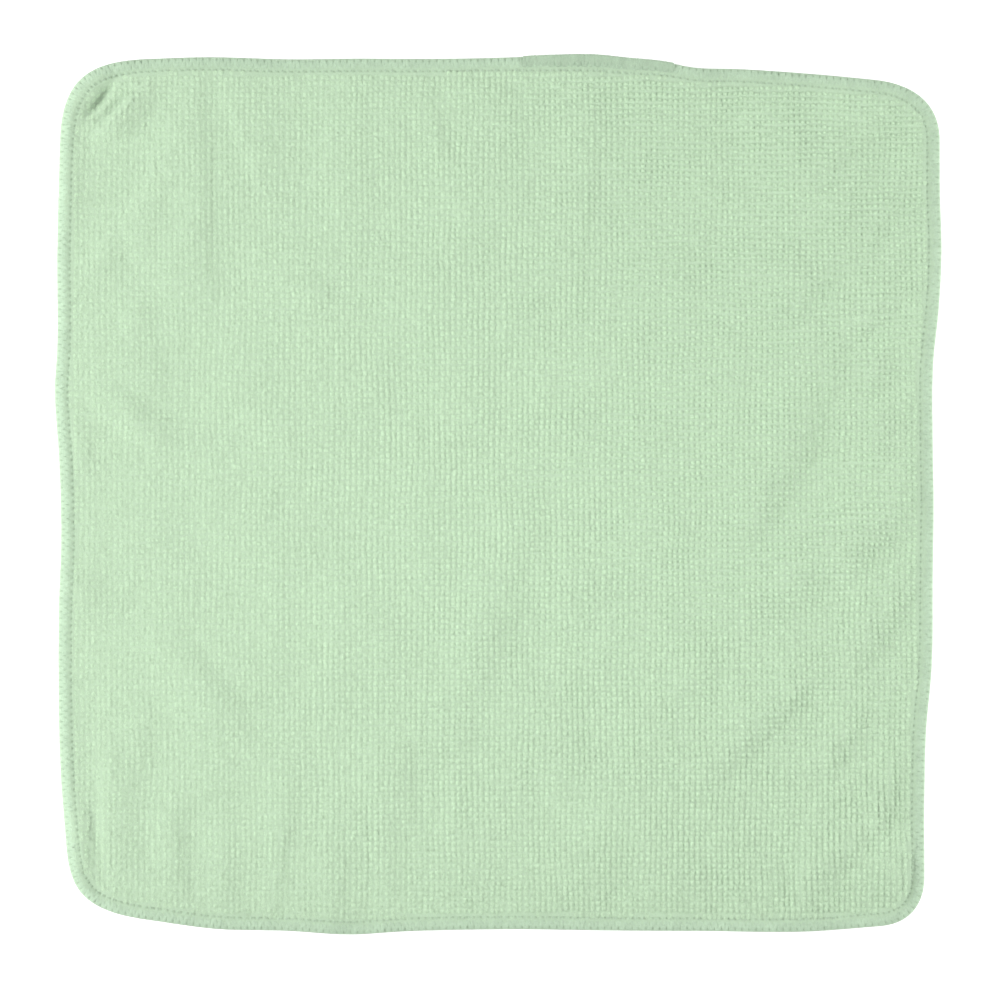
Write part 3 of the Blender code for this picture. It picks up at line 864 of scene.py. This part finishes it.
def changing(tree, place, change):
    """What a Change gives at a place."""
    part = parts_of(tree, place)[change.axis]
    return ramp(tree, part, change.start * MM, change.stop * MM, change.low, change.high)


def on_the_table(tree, geometry):
    """Lifts whatever would sink into the table back onto it."""
    x, y, z = parts_of(tree, position(tree))
    return placed(tree, geometry, vector_from(tree, x, y, math_of(tree, "MAXIMUM", z, 0.0)))


def finished_mesh(tree, geometry, material):
    """Adds a map that looks straight down on the mesh, for baking, and smooth shading and the material."""
    shrunk = vector_of(tree, "SCALE", position(tree), scale=1 / MAP_SPAN)
    centred = vector_of(tree, "ADD", shrunk, (0.5, 0.5, 0.0))
    map_on = {"Geometry": geometry, "Name": "OFBake", "Value": centred}
    mapped = put(tree, "GeometryNodeStoreNamedAttribute", map_on, data_type="FLOAT2", domain="CORNER")
    smooth = put(tree, "GeometryNodeSetShadeSmooth", {0: mapped.outputs[0]})
    return put(tree, "GeometryNodeSetMaterial", {0: smooth.outputs[0], 2: material}).outputs[0]


# %% What the tree that plants the loops can be told
PLANTED = (
    Given("Ground", OBJECT, None),
    Given("Loop", OBJECT, None),
    Given("Material", MATERIAL, None),
    Given("Spacing", FLOAT, 1.94 * MM),
    Given("Rows", INTEGER, 161),
    Given("From Y", FLOAT, -0.2),
    Given("To Y", FLOAT, 0.2),
    Given("Side", FLOAT, 1.0),
    Given("Half width", FLOAT, 0.95 * MM),
    Given("Half length", FLOAT, 0.98 * MM),
    Given("Height", FLOAT, 0.365 * MM),
    Given("Wander", FLOAT, 2.4 * MM),
    Given("Wander size", FLOAT, 38 * MM),
    Given("Crowding", FLOAT, 0.45 * MM),
    Given("Crowding size", FLOAT, 6 * MM),
    Given("Shake", FLOAT, 0.2 * MM),
    Given("Sideways lean", FLOAT, math.radians(6)),
    Given("Forward lean", FLOAT, math.radians(8)),
    Given("Ruffle", FLOAT, 0.3 * MM),
    Given("Ruffle size", FLOAT, 0.9 * MM),
    Given("Seed", INTEGER, 3),
)
DROP = 20 * MM  # a ray starts this far off the table
WALE_STREAK = (1.9 * MM, 16 * MM)  # a rib that stands a little fuller than its neighbours
BEAD_PATCH = (22 * MM, 30 * MM)  # a patch where the loops stand apart
PRESSED_PATCH = (11 * MM, 19 * MM)  # a patch that lay under something, or was brushed up
PRESSED_ELSEWHERE = (1.0, 2.0, 0.0)  # so that these patches don't fall on the bead patches
COURSE_CROWDING = 0.45  # courses crowd less than wales, so they show as straight lines across
CROWDING_STRETCH = (1.6, 0.5, 1.0)  # and crowding changes faster across the cloth than along it
RAGGED = (0.35, 0.7)  # where the pile runs out, a loop needs this much of it to stand
# A pool of light is painted into the loops' colour: paler right of the middle of the cloth, deeper toward its
# edges.
LIGHT_POOL_AT, LIGHT_POOL_WITHIN, LIGHT_POOL_FADES_BEYOND = (60.0, 5.0, 0.0), 30.0, 210.0
POOL_LIGHTER, POOL_DARKER = 0.35, -0.3
# How the cloth changes over its whole size: along x (axis 0) or y (axis 1), from start to stop in
# millimetres, a value goes from low to high.
Change = namedtuple("Change", "name axis start stop low high")
BEADS_TO_THE_RIGHT = Change("loops stand apart toward the right", 0, 0.0, 60.0, 0.12, 1.0)
BEADS_UPWARD = Change("but close up toward the bottom", 1, -150.0, -20.0, -0.8, 1.0)
FLAT_TO_THE_LEFT = Change("pressed flat toward the left edge", 0, -140.0, 70.0, 0.46, 1.3)
FLAT_TO_THE_BOTTOM = Change("and a little toward the bottom", 1, -120.0, 150.0, 0.91, 1.05)
# painted shade: the loops are coloured darker beside the bottom hem
SHADE_PAINTED_AT_THE_BOTTOM = Change("deeper in colour beside the bottom hem", 1, -152.0, -124.0, -0.4, 0.0)

# %% Cross the wales and courses
def crossings(tree, value):
    """The grid of crossings within the band, wandering as the cloth does, high above the ground."""
    rows = value["Rows"]
    size = times(tree, value["Spacing"], math_of(tree, "SUBTRACT", rows, 1.0))
    grid = put(tree, "GeometryNodeMeshGrid", {0: size, 1: size, 2: rows, 3: rows}).outputs[0]
    place = position(tree)
    along = parts_of(tree, place)[1]
    before = math_of(tree, "LESS_THAN", along, value["From Y"])
    after = math_of(tree, "GREATER_THAN", along, value["To Y"])
    band = put(tree, "GeometryNodeDeleteGeometry", {0: grid, 1: plus(tree, before, after)}).outputs[0]
    wander = noise_step(tree, place, value["Wander size"], value["Wander"])
    stretched = vector_of(tree, "MULTIPLY", place, CROWDING_STRETCH)
    crowding = noise_step(tree, stretched, value["Crowding size"], value["Crowding"])
    shake = random_of(tree, (-1, -1, 0), (1, 1, 0), value["Seed"], number_of(tree))
    crowding = vector_of(tree, "MULTIPLY", crowding, (1.0, COURSE_CROWDING, 0.0))
    step = vector_of(tree, "ADD", wander, crowding)
    step = vector_of(tree, "ADD", step, vector_of(tree, "SCALE", shake, scale=value["Shake"]))
    sideways = vector_of(tree, "MULTIPLY", step, (1, 1, 0))
    start = upward(tree, times(tree, value["Side"], DROP))
    return moved(tree, band, vector_of(tree, "ADD", sideways, start))


# %% Drop them onto the ground
def dropped(tree, value, points):
    """The crossings that find pile, laid on the ground, with its slope and how full the pile is there."""
    down = upward(tree, times(tree, value["Side"], -1.0))
    normal = put(tree, "GeometryNodeInputNormal").outputs[0]
    ray = {0: mesh_of(tree, value["Ground"]), 3: down, 4: 2 * DROP}
    felt = put(tree, "GeometryNodeRaycast", {**ray, 1: noted(tree, "pile")}, data_type="FLOAT").outputs
    faced = put(tree, "GeometryNodeRaycast", {**ray, 1: normal}, data_type="FLOAT_VECTOR").outputs
    needed = random_of(tree, *RAGGED, value["Seed"], number_of(tree))
    bare = math_of(tree, "LESS_THAN", times(tree, felt[0], felt[4]), needed)
    points, is_bare = note(tree, points, "bare", bare)
    points, upright = note(tree, points, "upright", faced[4], "FLOAT_VECTOR")
    points, full_there = note(tree, points, "fullness", felt[4])
    landed = placed(tree, points, felt[1])
    return put(tree, "GeometryNodeDeleteGeometry", {0: landed, 1: is_bare}).outputs[0], upright, full_there


# %% How light each loop is
STREAK_TONE = 0.35  # how much lighter the fullest rib is
OWN_LOOP_TONE = 0.35  # and how much lighter than its neighbour a loop can be
SHORT_LOOP_SHADE = 0.35  # a loop that stands lower than its neighbours lies in their shade


def loop_tone(tree, value, place, streak, full_there):
    """How light the loop at a place is, from a painted pool of light, its rib, its own chance and painted
    shade from its neighbours.
    """
    own = random_of(tree, 0.0, 1.0, plus(tree, value["Seed"], 1.0), number_of(tree))
    far = vector_of(tree, "SUBTRACT", place, tuple(part * MM for part in LIGHT_POOL_AT))
    far = vector_of(tree, "MULTIPLY", far, (1, 1, 0))
    far = put(tree, "ShaderNodeVectorMath", {0: far}, operation="LENGTH").outputs["Value"]
    # painted light: a pool of light, paler near the middle of the cloth and deeper far from it
    light_pool = ramp(tree, far, LIGHT_POOL_WITHIN * MM, LIGHT_POOL_FADES_BEYOND * MM, POOL_LIGHTER, POOL_DARKER)
    tone = plus(tree, times(tree, streak, STREAK_TONE), times(tree, own, OWN_LOOP_TONE), light_pool)
    shade = times(tree, math_of(tree, "SUBTRACT", full_there, 1.0), SHORT_LOOP_SHADE)
    return plus(tree, tone, changing(tree, place, SHADE_PAINTED_AT_THE_BOTTOM), shade)


# %% Which way each loop leans
MOST_TURN = 0.2  # in radians, about the loop's own upright


def loop_turn(tree, value, upright):
    """How a loop stands: upright on the ground, then leaning its own way."""
    stand = put(tree, "FunctionNodeAlignRotationToVector", {2: upright}, axis="Z").outputs[0]
    seed = plus(tree, value["Seed"], 2.0)
    lean = random_of(tree, (-1, -1, -MOST_TURN), (1, 1, MOST_TURN), seed, number_of(tree))
    most = vector_from(tree, value["Forward lean"], value["Sideways lean"], 1.0)
    lean = put(tree, "FunctionNodeEulerToRotation", {0: vector_of(tree, "MULTIPLY", lean, most)}).outputs[0]
    return put(tree, "FunctionNodeRotateRotation", {0: stand, 1: lean}, rotation_space="LOCAL").outputs[0]


# %% How large each loop is
RIBBED, MORE_IN_A_PATCH, LESS_WHERE_BEADED = 0.42, 0.5, 0.65  # how far the loops join into ribs
BEAD_LENGTH, RIB_LENGTH = 0.82, 1.24  # shares of the usual length
LOW_STREAK, HIGH_STREAK = 0.86, 1.14  # shares of the usual height
PRESSED, BRUSHED_UP = 0.86, 1.15
LEAST_PLUMP = (0.88, 0.9, 0.86)
MOST_PLUMP = (1.08, 1.12, 1.14)


def loop_size(tree, value, place, streak, full_there):
    """A loop's half width, half length and height."""
    patch = soft_patches(tree, place, *BEAD_PATCH)
    brushed = soft_patches(tree, vector_of(tree, "ADD", place, PRESSED_ELSEWHERE), *PRESSED_PATCH)
    apart = [changing(tree, place, change) for change in (BEADS_TO_THE_RIGHT, BEADS_UPWARD)]
    beaded = times(tree, *apart, LESS_WHERE_BEADED)
    ribbed = plus(tree, times(tree, patch, MORE_IN_A_PATCH), RIBBED)
    ribbed = math_of(tree, "SUBTRACT", ribbed, beaded, clamp=True)
    longer = ramp(tree, ribbed, low=BEAD_LENGTH, high=RIB_LENGTH)
    flat = [changing(tree, place, change) for change in (FLAT_TO_THE_LEFT, FLAT_TO_THE_BOTTOM)]
    streaky = ramp(tree, streak, low=LOW_STREAK, high=HIGH_STREAK)
    pressed = ramp(tree, brushed, low=PRESSED, high=BRUSHED_UP)
    higher = times(tree, streaky, times(tree, *flat), pressed, full_there)
    length = times(tree, value["Half length"], longer)
    full = vector_from(tree, value["Half width"], length, times(tree, value["Height"], higher))
    plump = random_of(tree, LEAST_PLUMP, MOST_PLUMP, plus(tree, value["Seed"], 3.0), number_of(tree))
    return vector_of(tree, "MULTIPLY", plump, full)


# %% Plant a loop on each crossing
def loops_on(tree, value, points, upright, full_there):
    """A loop on each point, leaning and swelling its own way, as a mesh."""
    place = position(tree)
    streak = soft_patches(tree, place, *WALE_STREAK)
    points, _ = note(tree, points, "tone", loop_tone(tree, value, place, streak, full_there))
    size = loop_size(tree, value, place, streak, full_there)
    return copies_on(tree, points, mesh_of(tree, value["Loop"]), size, loop_turn(tree, value, upright))


def pile_tree():
    """Plants a loop at each crossing of a wale and a course, wherever the ground has pile."""
    tree, value, result = new_tree("plant the pile", PLANTED)
    pile = loops_on(tree, value, *dropped(tree, value, crossings(tree, value)))
    ruffle = noise_step(tree, position(tree), value["Ruffle size"], value["Ruffle"])
    pile = on_the_table(tree, moved(tree, pile, ruffle))
    tree.links.new(finished_mesh(tree, pile, value["Material"]), result.inputs[0])
    return tree


plant_the_pile = pile_tree()

# %% Plant both faces
# A face is planted in bands, so that no piece of it is too heavy to load.
Band = namedtuple("Band", "name side sides start stop seed")
REACH = 160.0
BANDS = (
    Band("pile_lower_third", 1, 6, -REACH, -51.0, 3),
    Band("pile_middle_third", 1, 6, -51.0, 51.0, 13),
    Band("pile_upper_third", 1, 6, 51.0, REACH, 23),
    Band("pile_beneath_front", -1, 4, -REACH, 0.0, 33),
    Band("pile_beneath_back", -1, 4, 0.0, REACH, 43),
)


def planted(band):
    """One band of pile."""
    loop = loop_mesh("one loop", band.sides)
    told = {
        "Ground": ground,
        "Loop": loop,
        "Material": terry,
        "From Y": band.start * MM,
        "To Y": band.stop * MM,
        "Side": float(band.side),
        "Seed": band.seed,
    }
    pile = grown(band.name, plant_the_pile, told)
    bpy.data.objects.remove(loop)
    print(f"{band.name}: {triangles_of(pile.data)} triangles")
    return pile


piles = [planted(band) for band in BANDS]

# %% [markdown]
# ## The overlock
# The edge is trimmed and bound in one pass. On top, the looper thread runs out from a needle hole to the edge
# and back to the next hole, so that its legs lie side by side and cover the cloth. The needle thread shows as
# a short bar between two holes, and the under looper does on the other face what the upper one does on this.
# The thread is soft and textured, so it spreads flat under tension.
#
# Each kind of stitch is drawn once, on a straight seam: x along it, y in from the edge, z up. The tree lays
# one at every stitch length, then bends the whole row round the cloth.

# %% Stitches on a straight seam
# width is a share of the row's own. deep is painted shade: how much darker the thread's colour is made where
# it lies in shade, between threads or in a hole, and below 0 painted light, where it catches more light than
# the rest.
Place = namedtuple("Place", "x y z width deep")
UPPER_LEG = (
    Place(0.0, 4.1, 1.3, 0.3, 1.0),
    Place(0.05, 3.85, 1.7, 0.7, 0.6),
    Place(0.18, 3.4, 1.92, 1.0, 0.4),
    Place(0.4, 2.6, 1.87, 1.0, 0.1),
    Place(0.64, 1.8, 1.64, 1.0, -0.25),
    Place(0.92, 0.95, 1.26, 0.8, -0.55),
    Place(0.98, 0.35, 0.8, 0.72, -0.8),
    Place(0.98, 0.34, 0.5, 0.72, -0.8),
    Place(0.9, 0.8, 0.33, 0.5, 0.5),
)
UNDER_LEG = (
    Place(0.0, 4.4, 0.6, 0.5, 1.0),
    Place(0.1, 3.7, 0.32, 1.0, 0.1),
    Place(0.35, 2.0, 0.24, 1.0, 0.0),
    Place(0.6, 0.9, 0.35, 1.0, 0.2),
    Place(0.6, 0.45, 0.55, 0.5, 0.5),
)
NEEDLE_BAR = (
    Place(0.5, 4.5, 1.4, 0.5, 1.0),
    Place(0.75, 4.5, 1.78, 0.9, 0.3),
    Place(1.2, 4.5, 1.88, 1.0, 0.0),
    Place(1.65, 4.5, 1.78, 0.9, 0.3),
    Place(1.9, 4.5, 1.4, 0.5, 1.0),
)
# A thread's outline, cut across: flat where it lies on the cloth, soft at its shoulders.
Cut = namedtuple("Cut", "across above")
SPREAD_THREAD = (
    Cut(-1.0, -0.5),
    Cut(-0.8, 0.5),
    Cut(-0.35, 0.95),
    Cut(0.35, 0.95),
    Cut(0.8, 0.5),
    Cut(1.0, -0.5),
)
PLAIN_THREAD = (Cut(-1.0, -0.3), Cut(-0.5, 0.9), Cut(0.5, 0.9), Cut(1.0, -0.3))
ALONG, ACROSS = Vector((1, 0, 0)), Vector((0, 1, 0))


def add_thread(mesh, route, row):
    """Adds a thread along the route, spread out flat, and closed at both ends."""
    line = [Vector(place[:3]) for place in route]
    last = len(line) - 1
    rings = []
    for i, place in enumerate(line):
        ahead = (line[min(i + 1, last)] - line[max(i - 1, 0)]).normalized()
        across = (row.flat_way - ahead * row.flat_way.dot(ahead)).normalized()
        above = ahead.cross(across)
        size = route[i].width
        ring = [across * c.across * row.half_width + above * c.above * row.half_height for c in row.outline]
        rings.append([mesh.verts.new((place + step * size) * MM) for step in ring])
        for point in rings[-1]:
            point[mesh.verts.layers.float["deep"]] = route[i].deep
    for a, b in zip(rings, rings[1:]):
        for k in range(len(a)):
            n = (k + 1) % len(a)
            mesh.faces.new((a[k], a[n], b[n], b[k]))
    mesh.faces.new(rings[0][::-1])
    mesh.faces.new(rings[-1])


def one_stitch(row):
    """The threads that one stitch adds, as an object. A pair of legs runs from hole to edge and back."""
    mesh = bmesh.new()
    mesh.verts.layers.float.new("deep")
    add_thread(mesh, row.route, row)
    if row.is_pair:
        add_thread(mesh, [place._replace(x=STITCH - place.x) for place in row.route], row)
    bmesh.ops.recalc_face_normals(mesh, faces=mesh.faces)
    return built("one stitch", mesh)


# %% The edge as a line, with what the seam has to follow
def seam_line():
    """The edge as a closed line that notes how much wider than usual the hem is."""
    mesh = bpy.data.meshes.new("seam line")
    count = len(edge)
    places = np.column_stack([edge, np.zeros(count)]) * MM
    mesh.from_pydata(places.tolist(), [(i, (i + 1) % count) for i in range(count)], [])
    write_on_points(mesh, "wide", widen(edge[:, 0], edge[:, 1]) * MM)
    return new_object("seam line", mesh)


# %% What the tree that sews can be told
SEWN = (
    Given("Seam", OBJECT, None),
    Given("Ground", OBJECT, None),
    Given("Stitch", OBJECT, None),
    Given("Material", MATERIAL, None),
    Given("Stitches", INTEGER, stitches),
    Given("Stitch length", FLOAT, STITCH * MM),
    Given("First stitch", FLOAT, 0.0),
    Given("Needle line", FLOAT, NEEDLE_LINE * MM),
    Given("Outward", FLOAT, 0.0),
    Given("Upward", FLOAT, 0.0),
    Given("Tone", FLOAT, 0.5),
    Given("Unevenness", FLOAT, 0.07),
    Given("Fray", FLOAT, 0.14 * MM),
    Given("Fray size", FLOAT, 0.8 * MM),
    Given("Seed", INTEGER, 5),
)

# %% Lay the stitches out straight
OWN_TONE = 0.25  # how far a stitch is lighter or darker than its row
# painted shade: SHADE darkens the thread's colour by deep, and lightens it where deep is below 0
SHADE = -0.55  # and how much deeper it looks between threads and in a hole
MOST_UNEVEN = (1.0, 0.5, 0.5)  # a stitch's length changes more than its width and height


def straight_row(tree, value):
    """A stitch at every stitch length along x, each a little uneven, as a mesh."""
    first = vector_from(tree, value["First stitch"], 0.0, 0.0)
    step = vector_from(tree, value["Stitch length"], 0.0, 0.0)
    line = {"Count": value["Stitches"], "Start Location": first, "Offset": step}
    points = put(tree, "GeometryNodeMeshLine", line, mode="OFFSET").outputs[0]
    number = number_of(tree)
    own = random_of(tree, -OWN_TONE, OWN_TONE, value["Seed"], number)
    points, _ = note(tree, points, "tone", plus(tree, own, value["Tone"]))
    least = tuple(-part for part in MOST_UNEVEN)
    uneven = random_of(tree, least, MOST_UNEVEN, plus(tree, value["Seed"], 1.0), number)
    size = vector_of(tree, "ADD", vector_of(tree, "SCALE", uneven, scale=value["Unevenness"]), (1, 1, 1))
    row = copies_on(tree, points, mesh_of(tree, value["Stitch"]), size)
    # painted shade and painted light, from each place's deep
    tone = plus(tree, noted(tree, "tone"), times(tree, noted(tree, "deep"), SHADE))
    return note(tree, row, "tone", tone)[0]


# %% Bend the row round the seam
def place_on_plan(tree, value):
    """Where a point of the straight row comes to lie round the cloth, before the folds lift it."""
    along, across, height = parts_of(tree, position(tree))
    curve = put(tree, "GeometryNodeMeshToCurve", {0: mesh_of(tree, value["Seam"])}).outputs[0]
    length = put(tree, "GeometryNodeCurveLength", {0: curve}).outputs[0]
    asked = {0: curve, 1: noted(tree, "wide"), 3: math_of(tree, "FLOORED_MODULO", along, length)}
    found = put(tree, "GeometryNodeSampleCurve", asked, data_type="FLOAT", mode="LENGTH").outputs
    share = math_of(tree, "DIVIDE", across, value["Needle line"], clamp=True)
    inset = plus(tree, across, times(tree, found[0], share))
    inset = math_of(tree, "SUBTRACT", inset, value["Outward"])
    ahead_x, ahead_y, _ = parts_of(tree, found[2])
    into = vector_from(tree, ahead_y, times(tree, ahead_x, -1.0), 0.0)
    on_plan = vector_of(tree, "ADD", found[1], vector_of(tree, "SCALE", into, scale=inset))
    return vector_of(tree, "ADD", on_plan, upward(tree, plus(tree, height, value["Upward"])))


def carried(tree, value, row):
    """Lifts the row with the folds, as far as they lift the ground nearest to it."""
    asked = {0: mesh_of(tree, value["Ground"]), 1: noted(tree, "carry"), 3: position(tree)}
    climb = put(tree, "GeometryNodeSampleNearestSurface", asked, data_type="FLOAT").outputs[0]
    return moved(tree, row, upward(tree, climb))


# %% Paint light on the left hem, and join the steps into the sewing tree
# painted light: the thread on the left hem is coloured paler, as it faces the stronger window, and less shaded
LEFT_HEM_PAINTED_LIGHT = Change("thread rubbed paler on the left hem", 0, -149.0, -143.0, 0.33, 0.0)
PAINTED_LIGHT_INWARD = 1.6  # this holds for the inner part of the stitches, not for their ends on the edge


def painted_light_on_left_hem(tree, row):
    """The row, with painted light on the left hem's thread, which faces the stronger window."""
    inner_part = plus(tree, times(tree, noted(tree, "deep"), PAINTED_LIGHT_INWARD), 1.0)
    paler = times(tree, changing(tree, position(tree), LEFT_HEM_PAINTED_LIGHT), inner_part)
    return note(tree, row, "tone", plus(tree, noted(tree, "tone"), paler))[0]


def sewing_tree():
    """Lays stitches along a straight line, then bends them round the seam."""
    tree, value, result = new_tree("sew the edge", SEWN)
    row = placed(tree, straight_row(tree, value), place_on_plan(tree, value))
    row = painted_light_on_left_hem(tree, carried(tree, value, row))
    fray = noise_step(tree, position(tree), value["Fray size"], value["Fray"], 2.0)
    row = on_the_table(tree, moved(tree, row, fray))
    tree.links.new(finished_mesh(tree, row, value["Material"]), result.inputs[0])
    return tree


sew_the_edge = sewing_tree()

# %% Sew all the way round
Row = namedtuple("Row", "name route is_pair flat_way outline half_width half_height tone seed")
ROWS = (
    Row("overlock_upper_looper", UPPER_LEG, True, ALONG, SPREAD_THREAD, 0.74, 0.1, 0.75, 5),
    Row("overlock_needle_thread", NEEDLE_BAR, False, ACROSS, SPREAD_THREAD, 0.5, 0.12, 0.35, 15),
    Row("overlock_under_looper", UNDER_LEG, True, -ALONG, PLAIN_THREAD, 0.66, 0.12, 0.5, 25),
)
seam = seam_line()


def sewn(row, told):
    """One row of stitches. told holds what differs from a whole round."""
    one = one_stitch(row)
    whole_round = {
        "Seam": seam,
        "Ground": ground,
        "Stitch": one,
        "Material": thread,
        "Stitches": stitches,
        "Stitch length": edge_length / stitches * MM,
        "Tone": row.tone,
        "Seed": row.seed,
    }
    sewing = grown(row.name, sew_the_edge, {**whole_round, **told})
    bpy.data.objects.remove(one)
    print(f"{row.name}: {triangles_of(sewing.data)} triangles")
    return sewing


threads = [sewn(row, {}) for row in ROWS]

# %% The lap, where the seam runs over its own start
# The two legs of a stitch lie closer together there, and spread further, so the lap looks plain.
CLOSED_TO = 0.6
FULLER = 1.2
CLOSED_LEG = [
    place._replace(x=min(place.x, CLOSED_TO), width=min(place.width * FULLER, 1.0)) for place in UPPER_LEG
]
LAP = Row("overlock_lap", CLOSED_LEG, True, ALONG, SPREAD_THREAD, 0.84, 0.1, 0.1, 35)
LAP_FROM = 131.2  # along the edge from the first station of the top side
LAP_STITCHES = 22
LAP_OUT = 0.4  # how far the lap sticks out past the edge, and lies on top of the seam's start
LAP_UP = 0.18

over_the_start = {
    "Stitches": LAP_STITCHES,
    "First stitch": LAP_FROM * MM,
    "Outward": LAP_OUT * MM,
    "Upward": LAP_UP * MM,
}
threads.append(sewn(LAP, over_the_start))
bpy.data.objects.remove(seam)

# %% [markdown]
# ## A map for the ground
# Each finish can be baked into a picture, which needs to know where on the picture each face goes. Looking
# straight down suits the ground as it does the pile, with the upper face on one half of the picture and the
# lower face on the other.

# %% Map the ground
def map_ground():
    """Lays the upper face on the left half of the map and the lower face on the right half."""
    mesh = ground.data
    layer = mesh.uv_layers.new(name="OFBake")
    for face in mesh.polygons:
        half = 0.0 if face.normal.z > 0 else 0.5
        for corner in face.loop_indices:
            place = mesh.vertices[mesh.loops[corner].vertex_index].co
            layer.data[corner].uv = (half + (place.x / MAP_SPAN + 0.5) / 2, place.y / MAP_SPAN + 0.5)


map_ground()

# %% [markdown]
# ## Join each piece to the body
# The ground is the sheet of cloth itself, so it stands for the solid, which is hidden.
# The pile and the threads are on it. All of them move with the one body.

# %% Bodies, and the solid hidden
for piece in (ground, *piles, *threads):
    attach(piece, "root")
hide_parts("cloth")
print("pieces:", ", ".join(piece.name for piece in (ground, *piles, *threads)))

# %% [markdown]
# ## Table, light and camera
# The cloth was looked at from straight above on white. A long lens from 2 m up keeps the view nearly
# parallel. Two large soft windows stand to the left and right, and the left one is stronger. Their slant is
# what shows the folds: a slope that faces left is a little lighter, and one that faces the top or bottom is a
# little darker.

# %% A pale table
TABLE_SIZE = 6.0
# It glows a little, as if it were lit from below too, so that no shadow shows round the cloth.
TABLE_FINISH = {
    "Base Color": (0.9, 0.9, 0.9, 1),
    "Roughness": 0.9,
    "Specular IOR Level": 0.1,
    "Emission Color": (1.0, 1.0, 1.0, 1),
    "Emission Strength": 0.35,
}


def pale_table():
    """A large white sheet under everything."""
    mesh = bmesh.new()
    bmesh.ops.create_grid(mesh, x_segments=1, y_segments=1, size=TABLE_SIZE / 2)
    table = built("table", mesh)
    material = bpy.data.materials.new("white table")
    material.use_nodes = True
    set_inputs(material.node_tree.nodes["Principled BSDF"], TABLE_FINISH)
    table.data.materials.append(material)
    return table


table = pale_table()

# %% Soft windows to the left and right, and an even fill
FILL = 0.28  # how bright the even light from all round is
Window = namedtuple("Window", "name side power")
WINDOWS = (Window("left window", -1, 48.5), Window("right window", 1, 35.5))
WINDOW_SIZE = 1.2
WINDOW_DISTANCE = 1.8
WINDOW_HEIGHT = math.radians(27)  # how far up from the table it stands

for window in WINDOWS:
    light = bpy.data.lights.new(window.name, "AREA")
    light.shape = "SQUARE"
    light.size = WINDOW_SIZE
    light.energy = window.power
    placed_light = new_object(window.name, light)
    away = window.side * math.cos(WINDOW_HEIGHT)
    placed_light.location = Vector((away, 0.0, math.sin(WINDOW_HEIGHT))) * WINDOW_DISTANCE
    placed_light.rotation_euler = (-placed_light.location).to_track_quat("-Z", "Y").to_euler()

studio = bpy.data.worlds.new("studio")
studio.use_nodes = True
set_inputs(studio.node_tree.nodes["Background"], {"Color": (1.0, 1.0, 1.0, 1), "Strength": FILL})
bpy.context.scene.world = studio
bpy.context.scene.view_settings.view_transform = "Standard"

# %% The camera, straight above
VIEW_WIDTH = 0.35
VIEW_CENTRE = (0.7 * MM, -1.9 * MM)  # the cloth lies a little off the middle of the picture
CAMERA_HEIGHT = 2.0
SENSOR = 36.0
camera_data = bpy.data.cameras.new("camera")
camera_data.sensor_width = SENSOR
camera_data.lens = SENSOR * CAMERA_HEIGHT / VIEW_WIDTH
camera = new_object("camera", camera_data)
camera.location = (*VIEW_CENTRE, CAMERA_HEIGHT)
bpy.context.scene.camera = camera
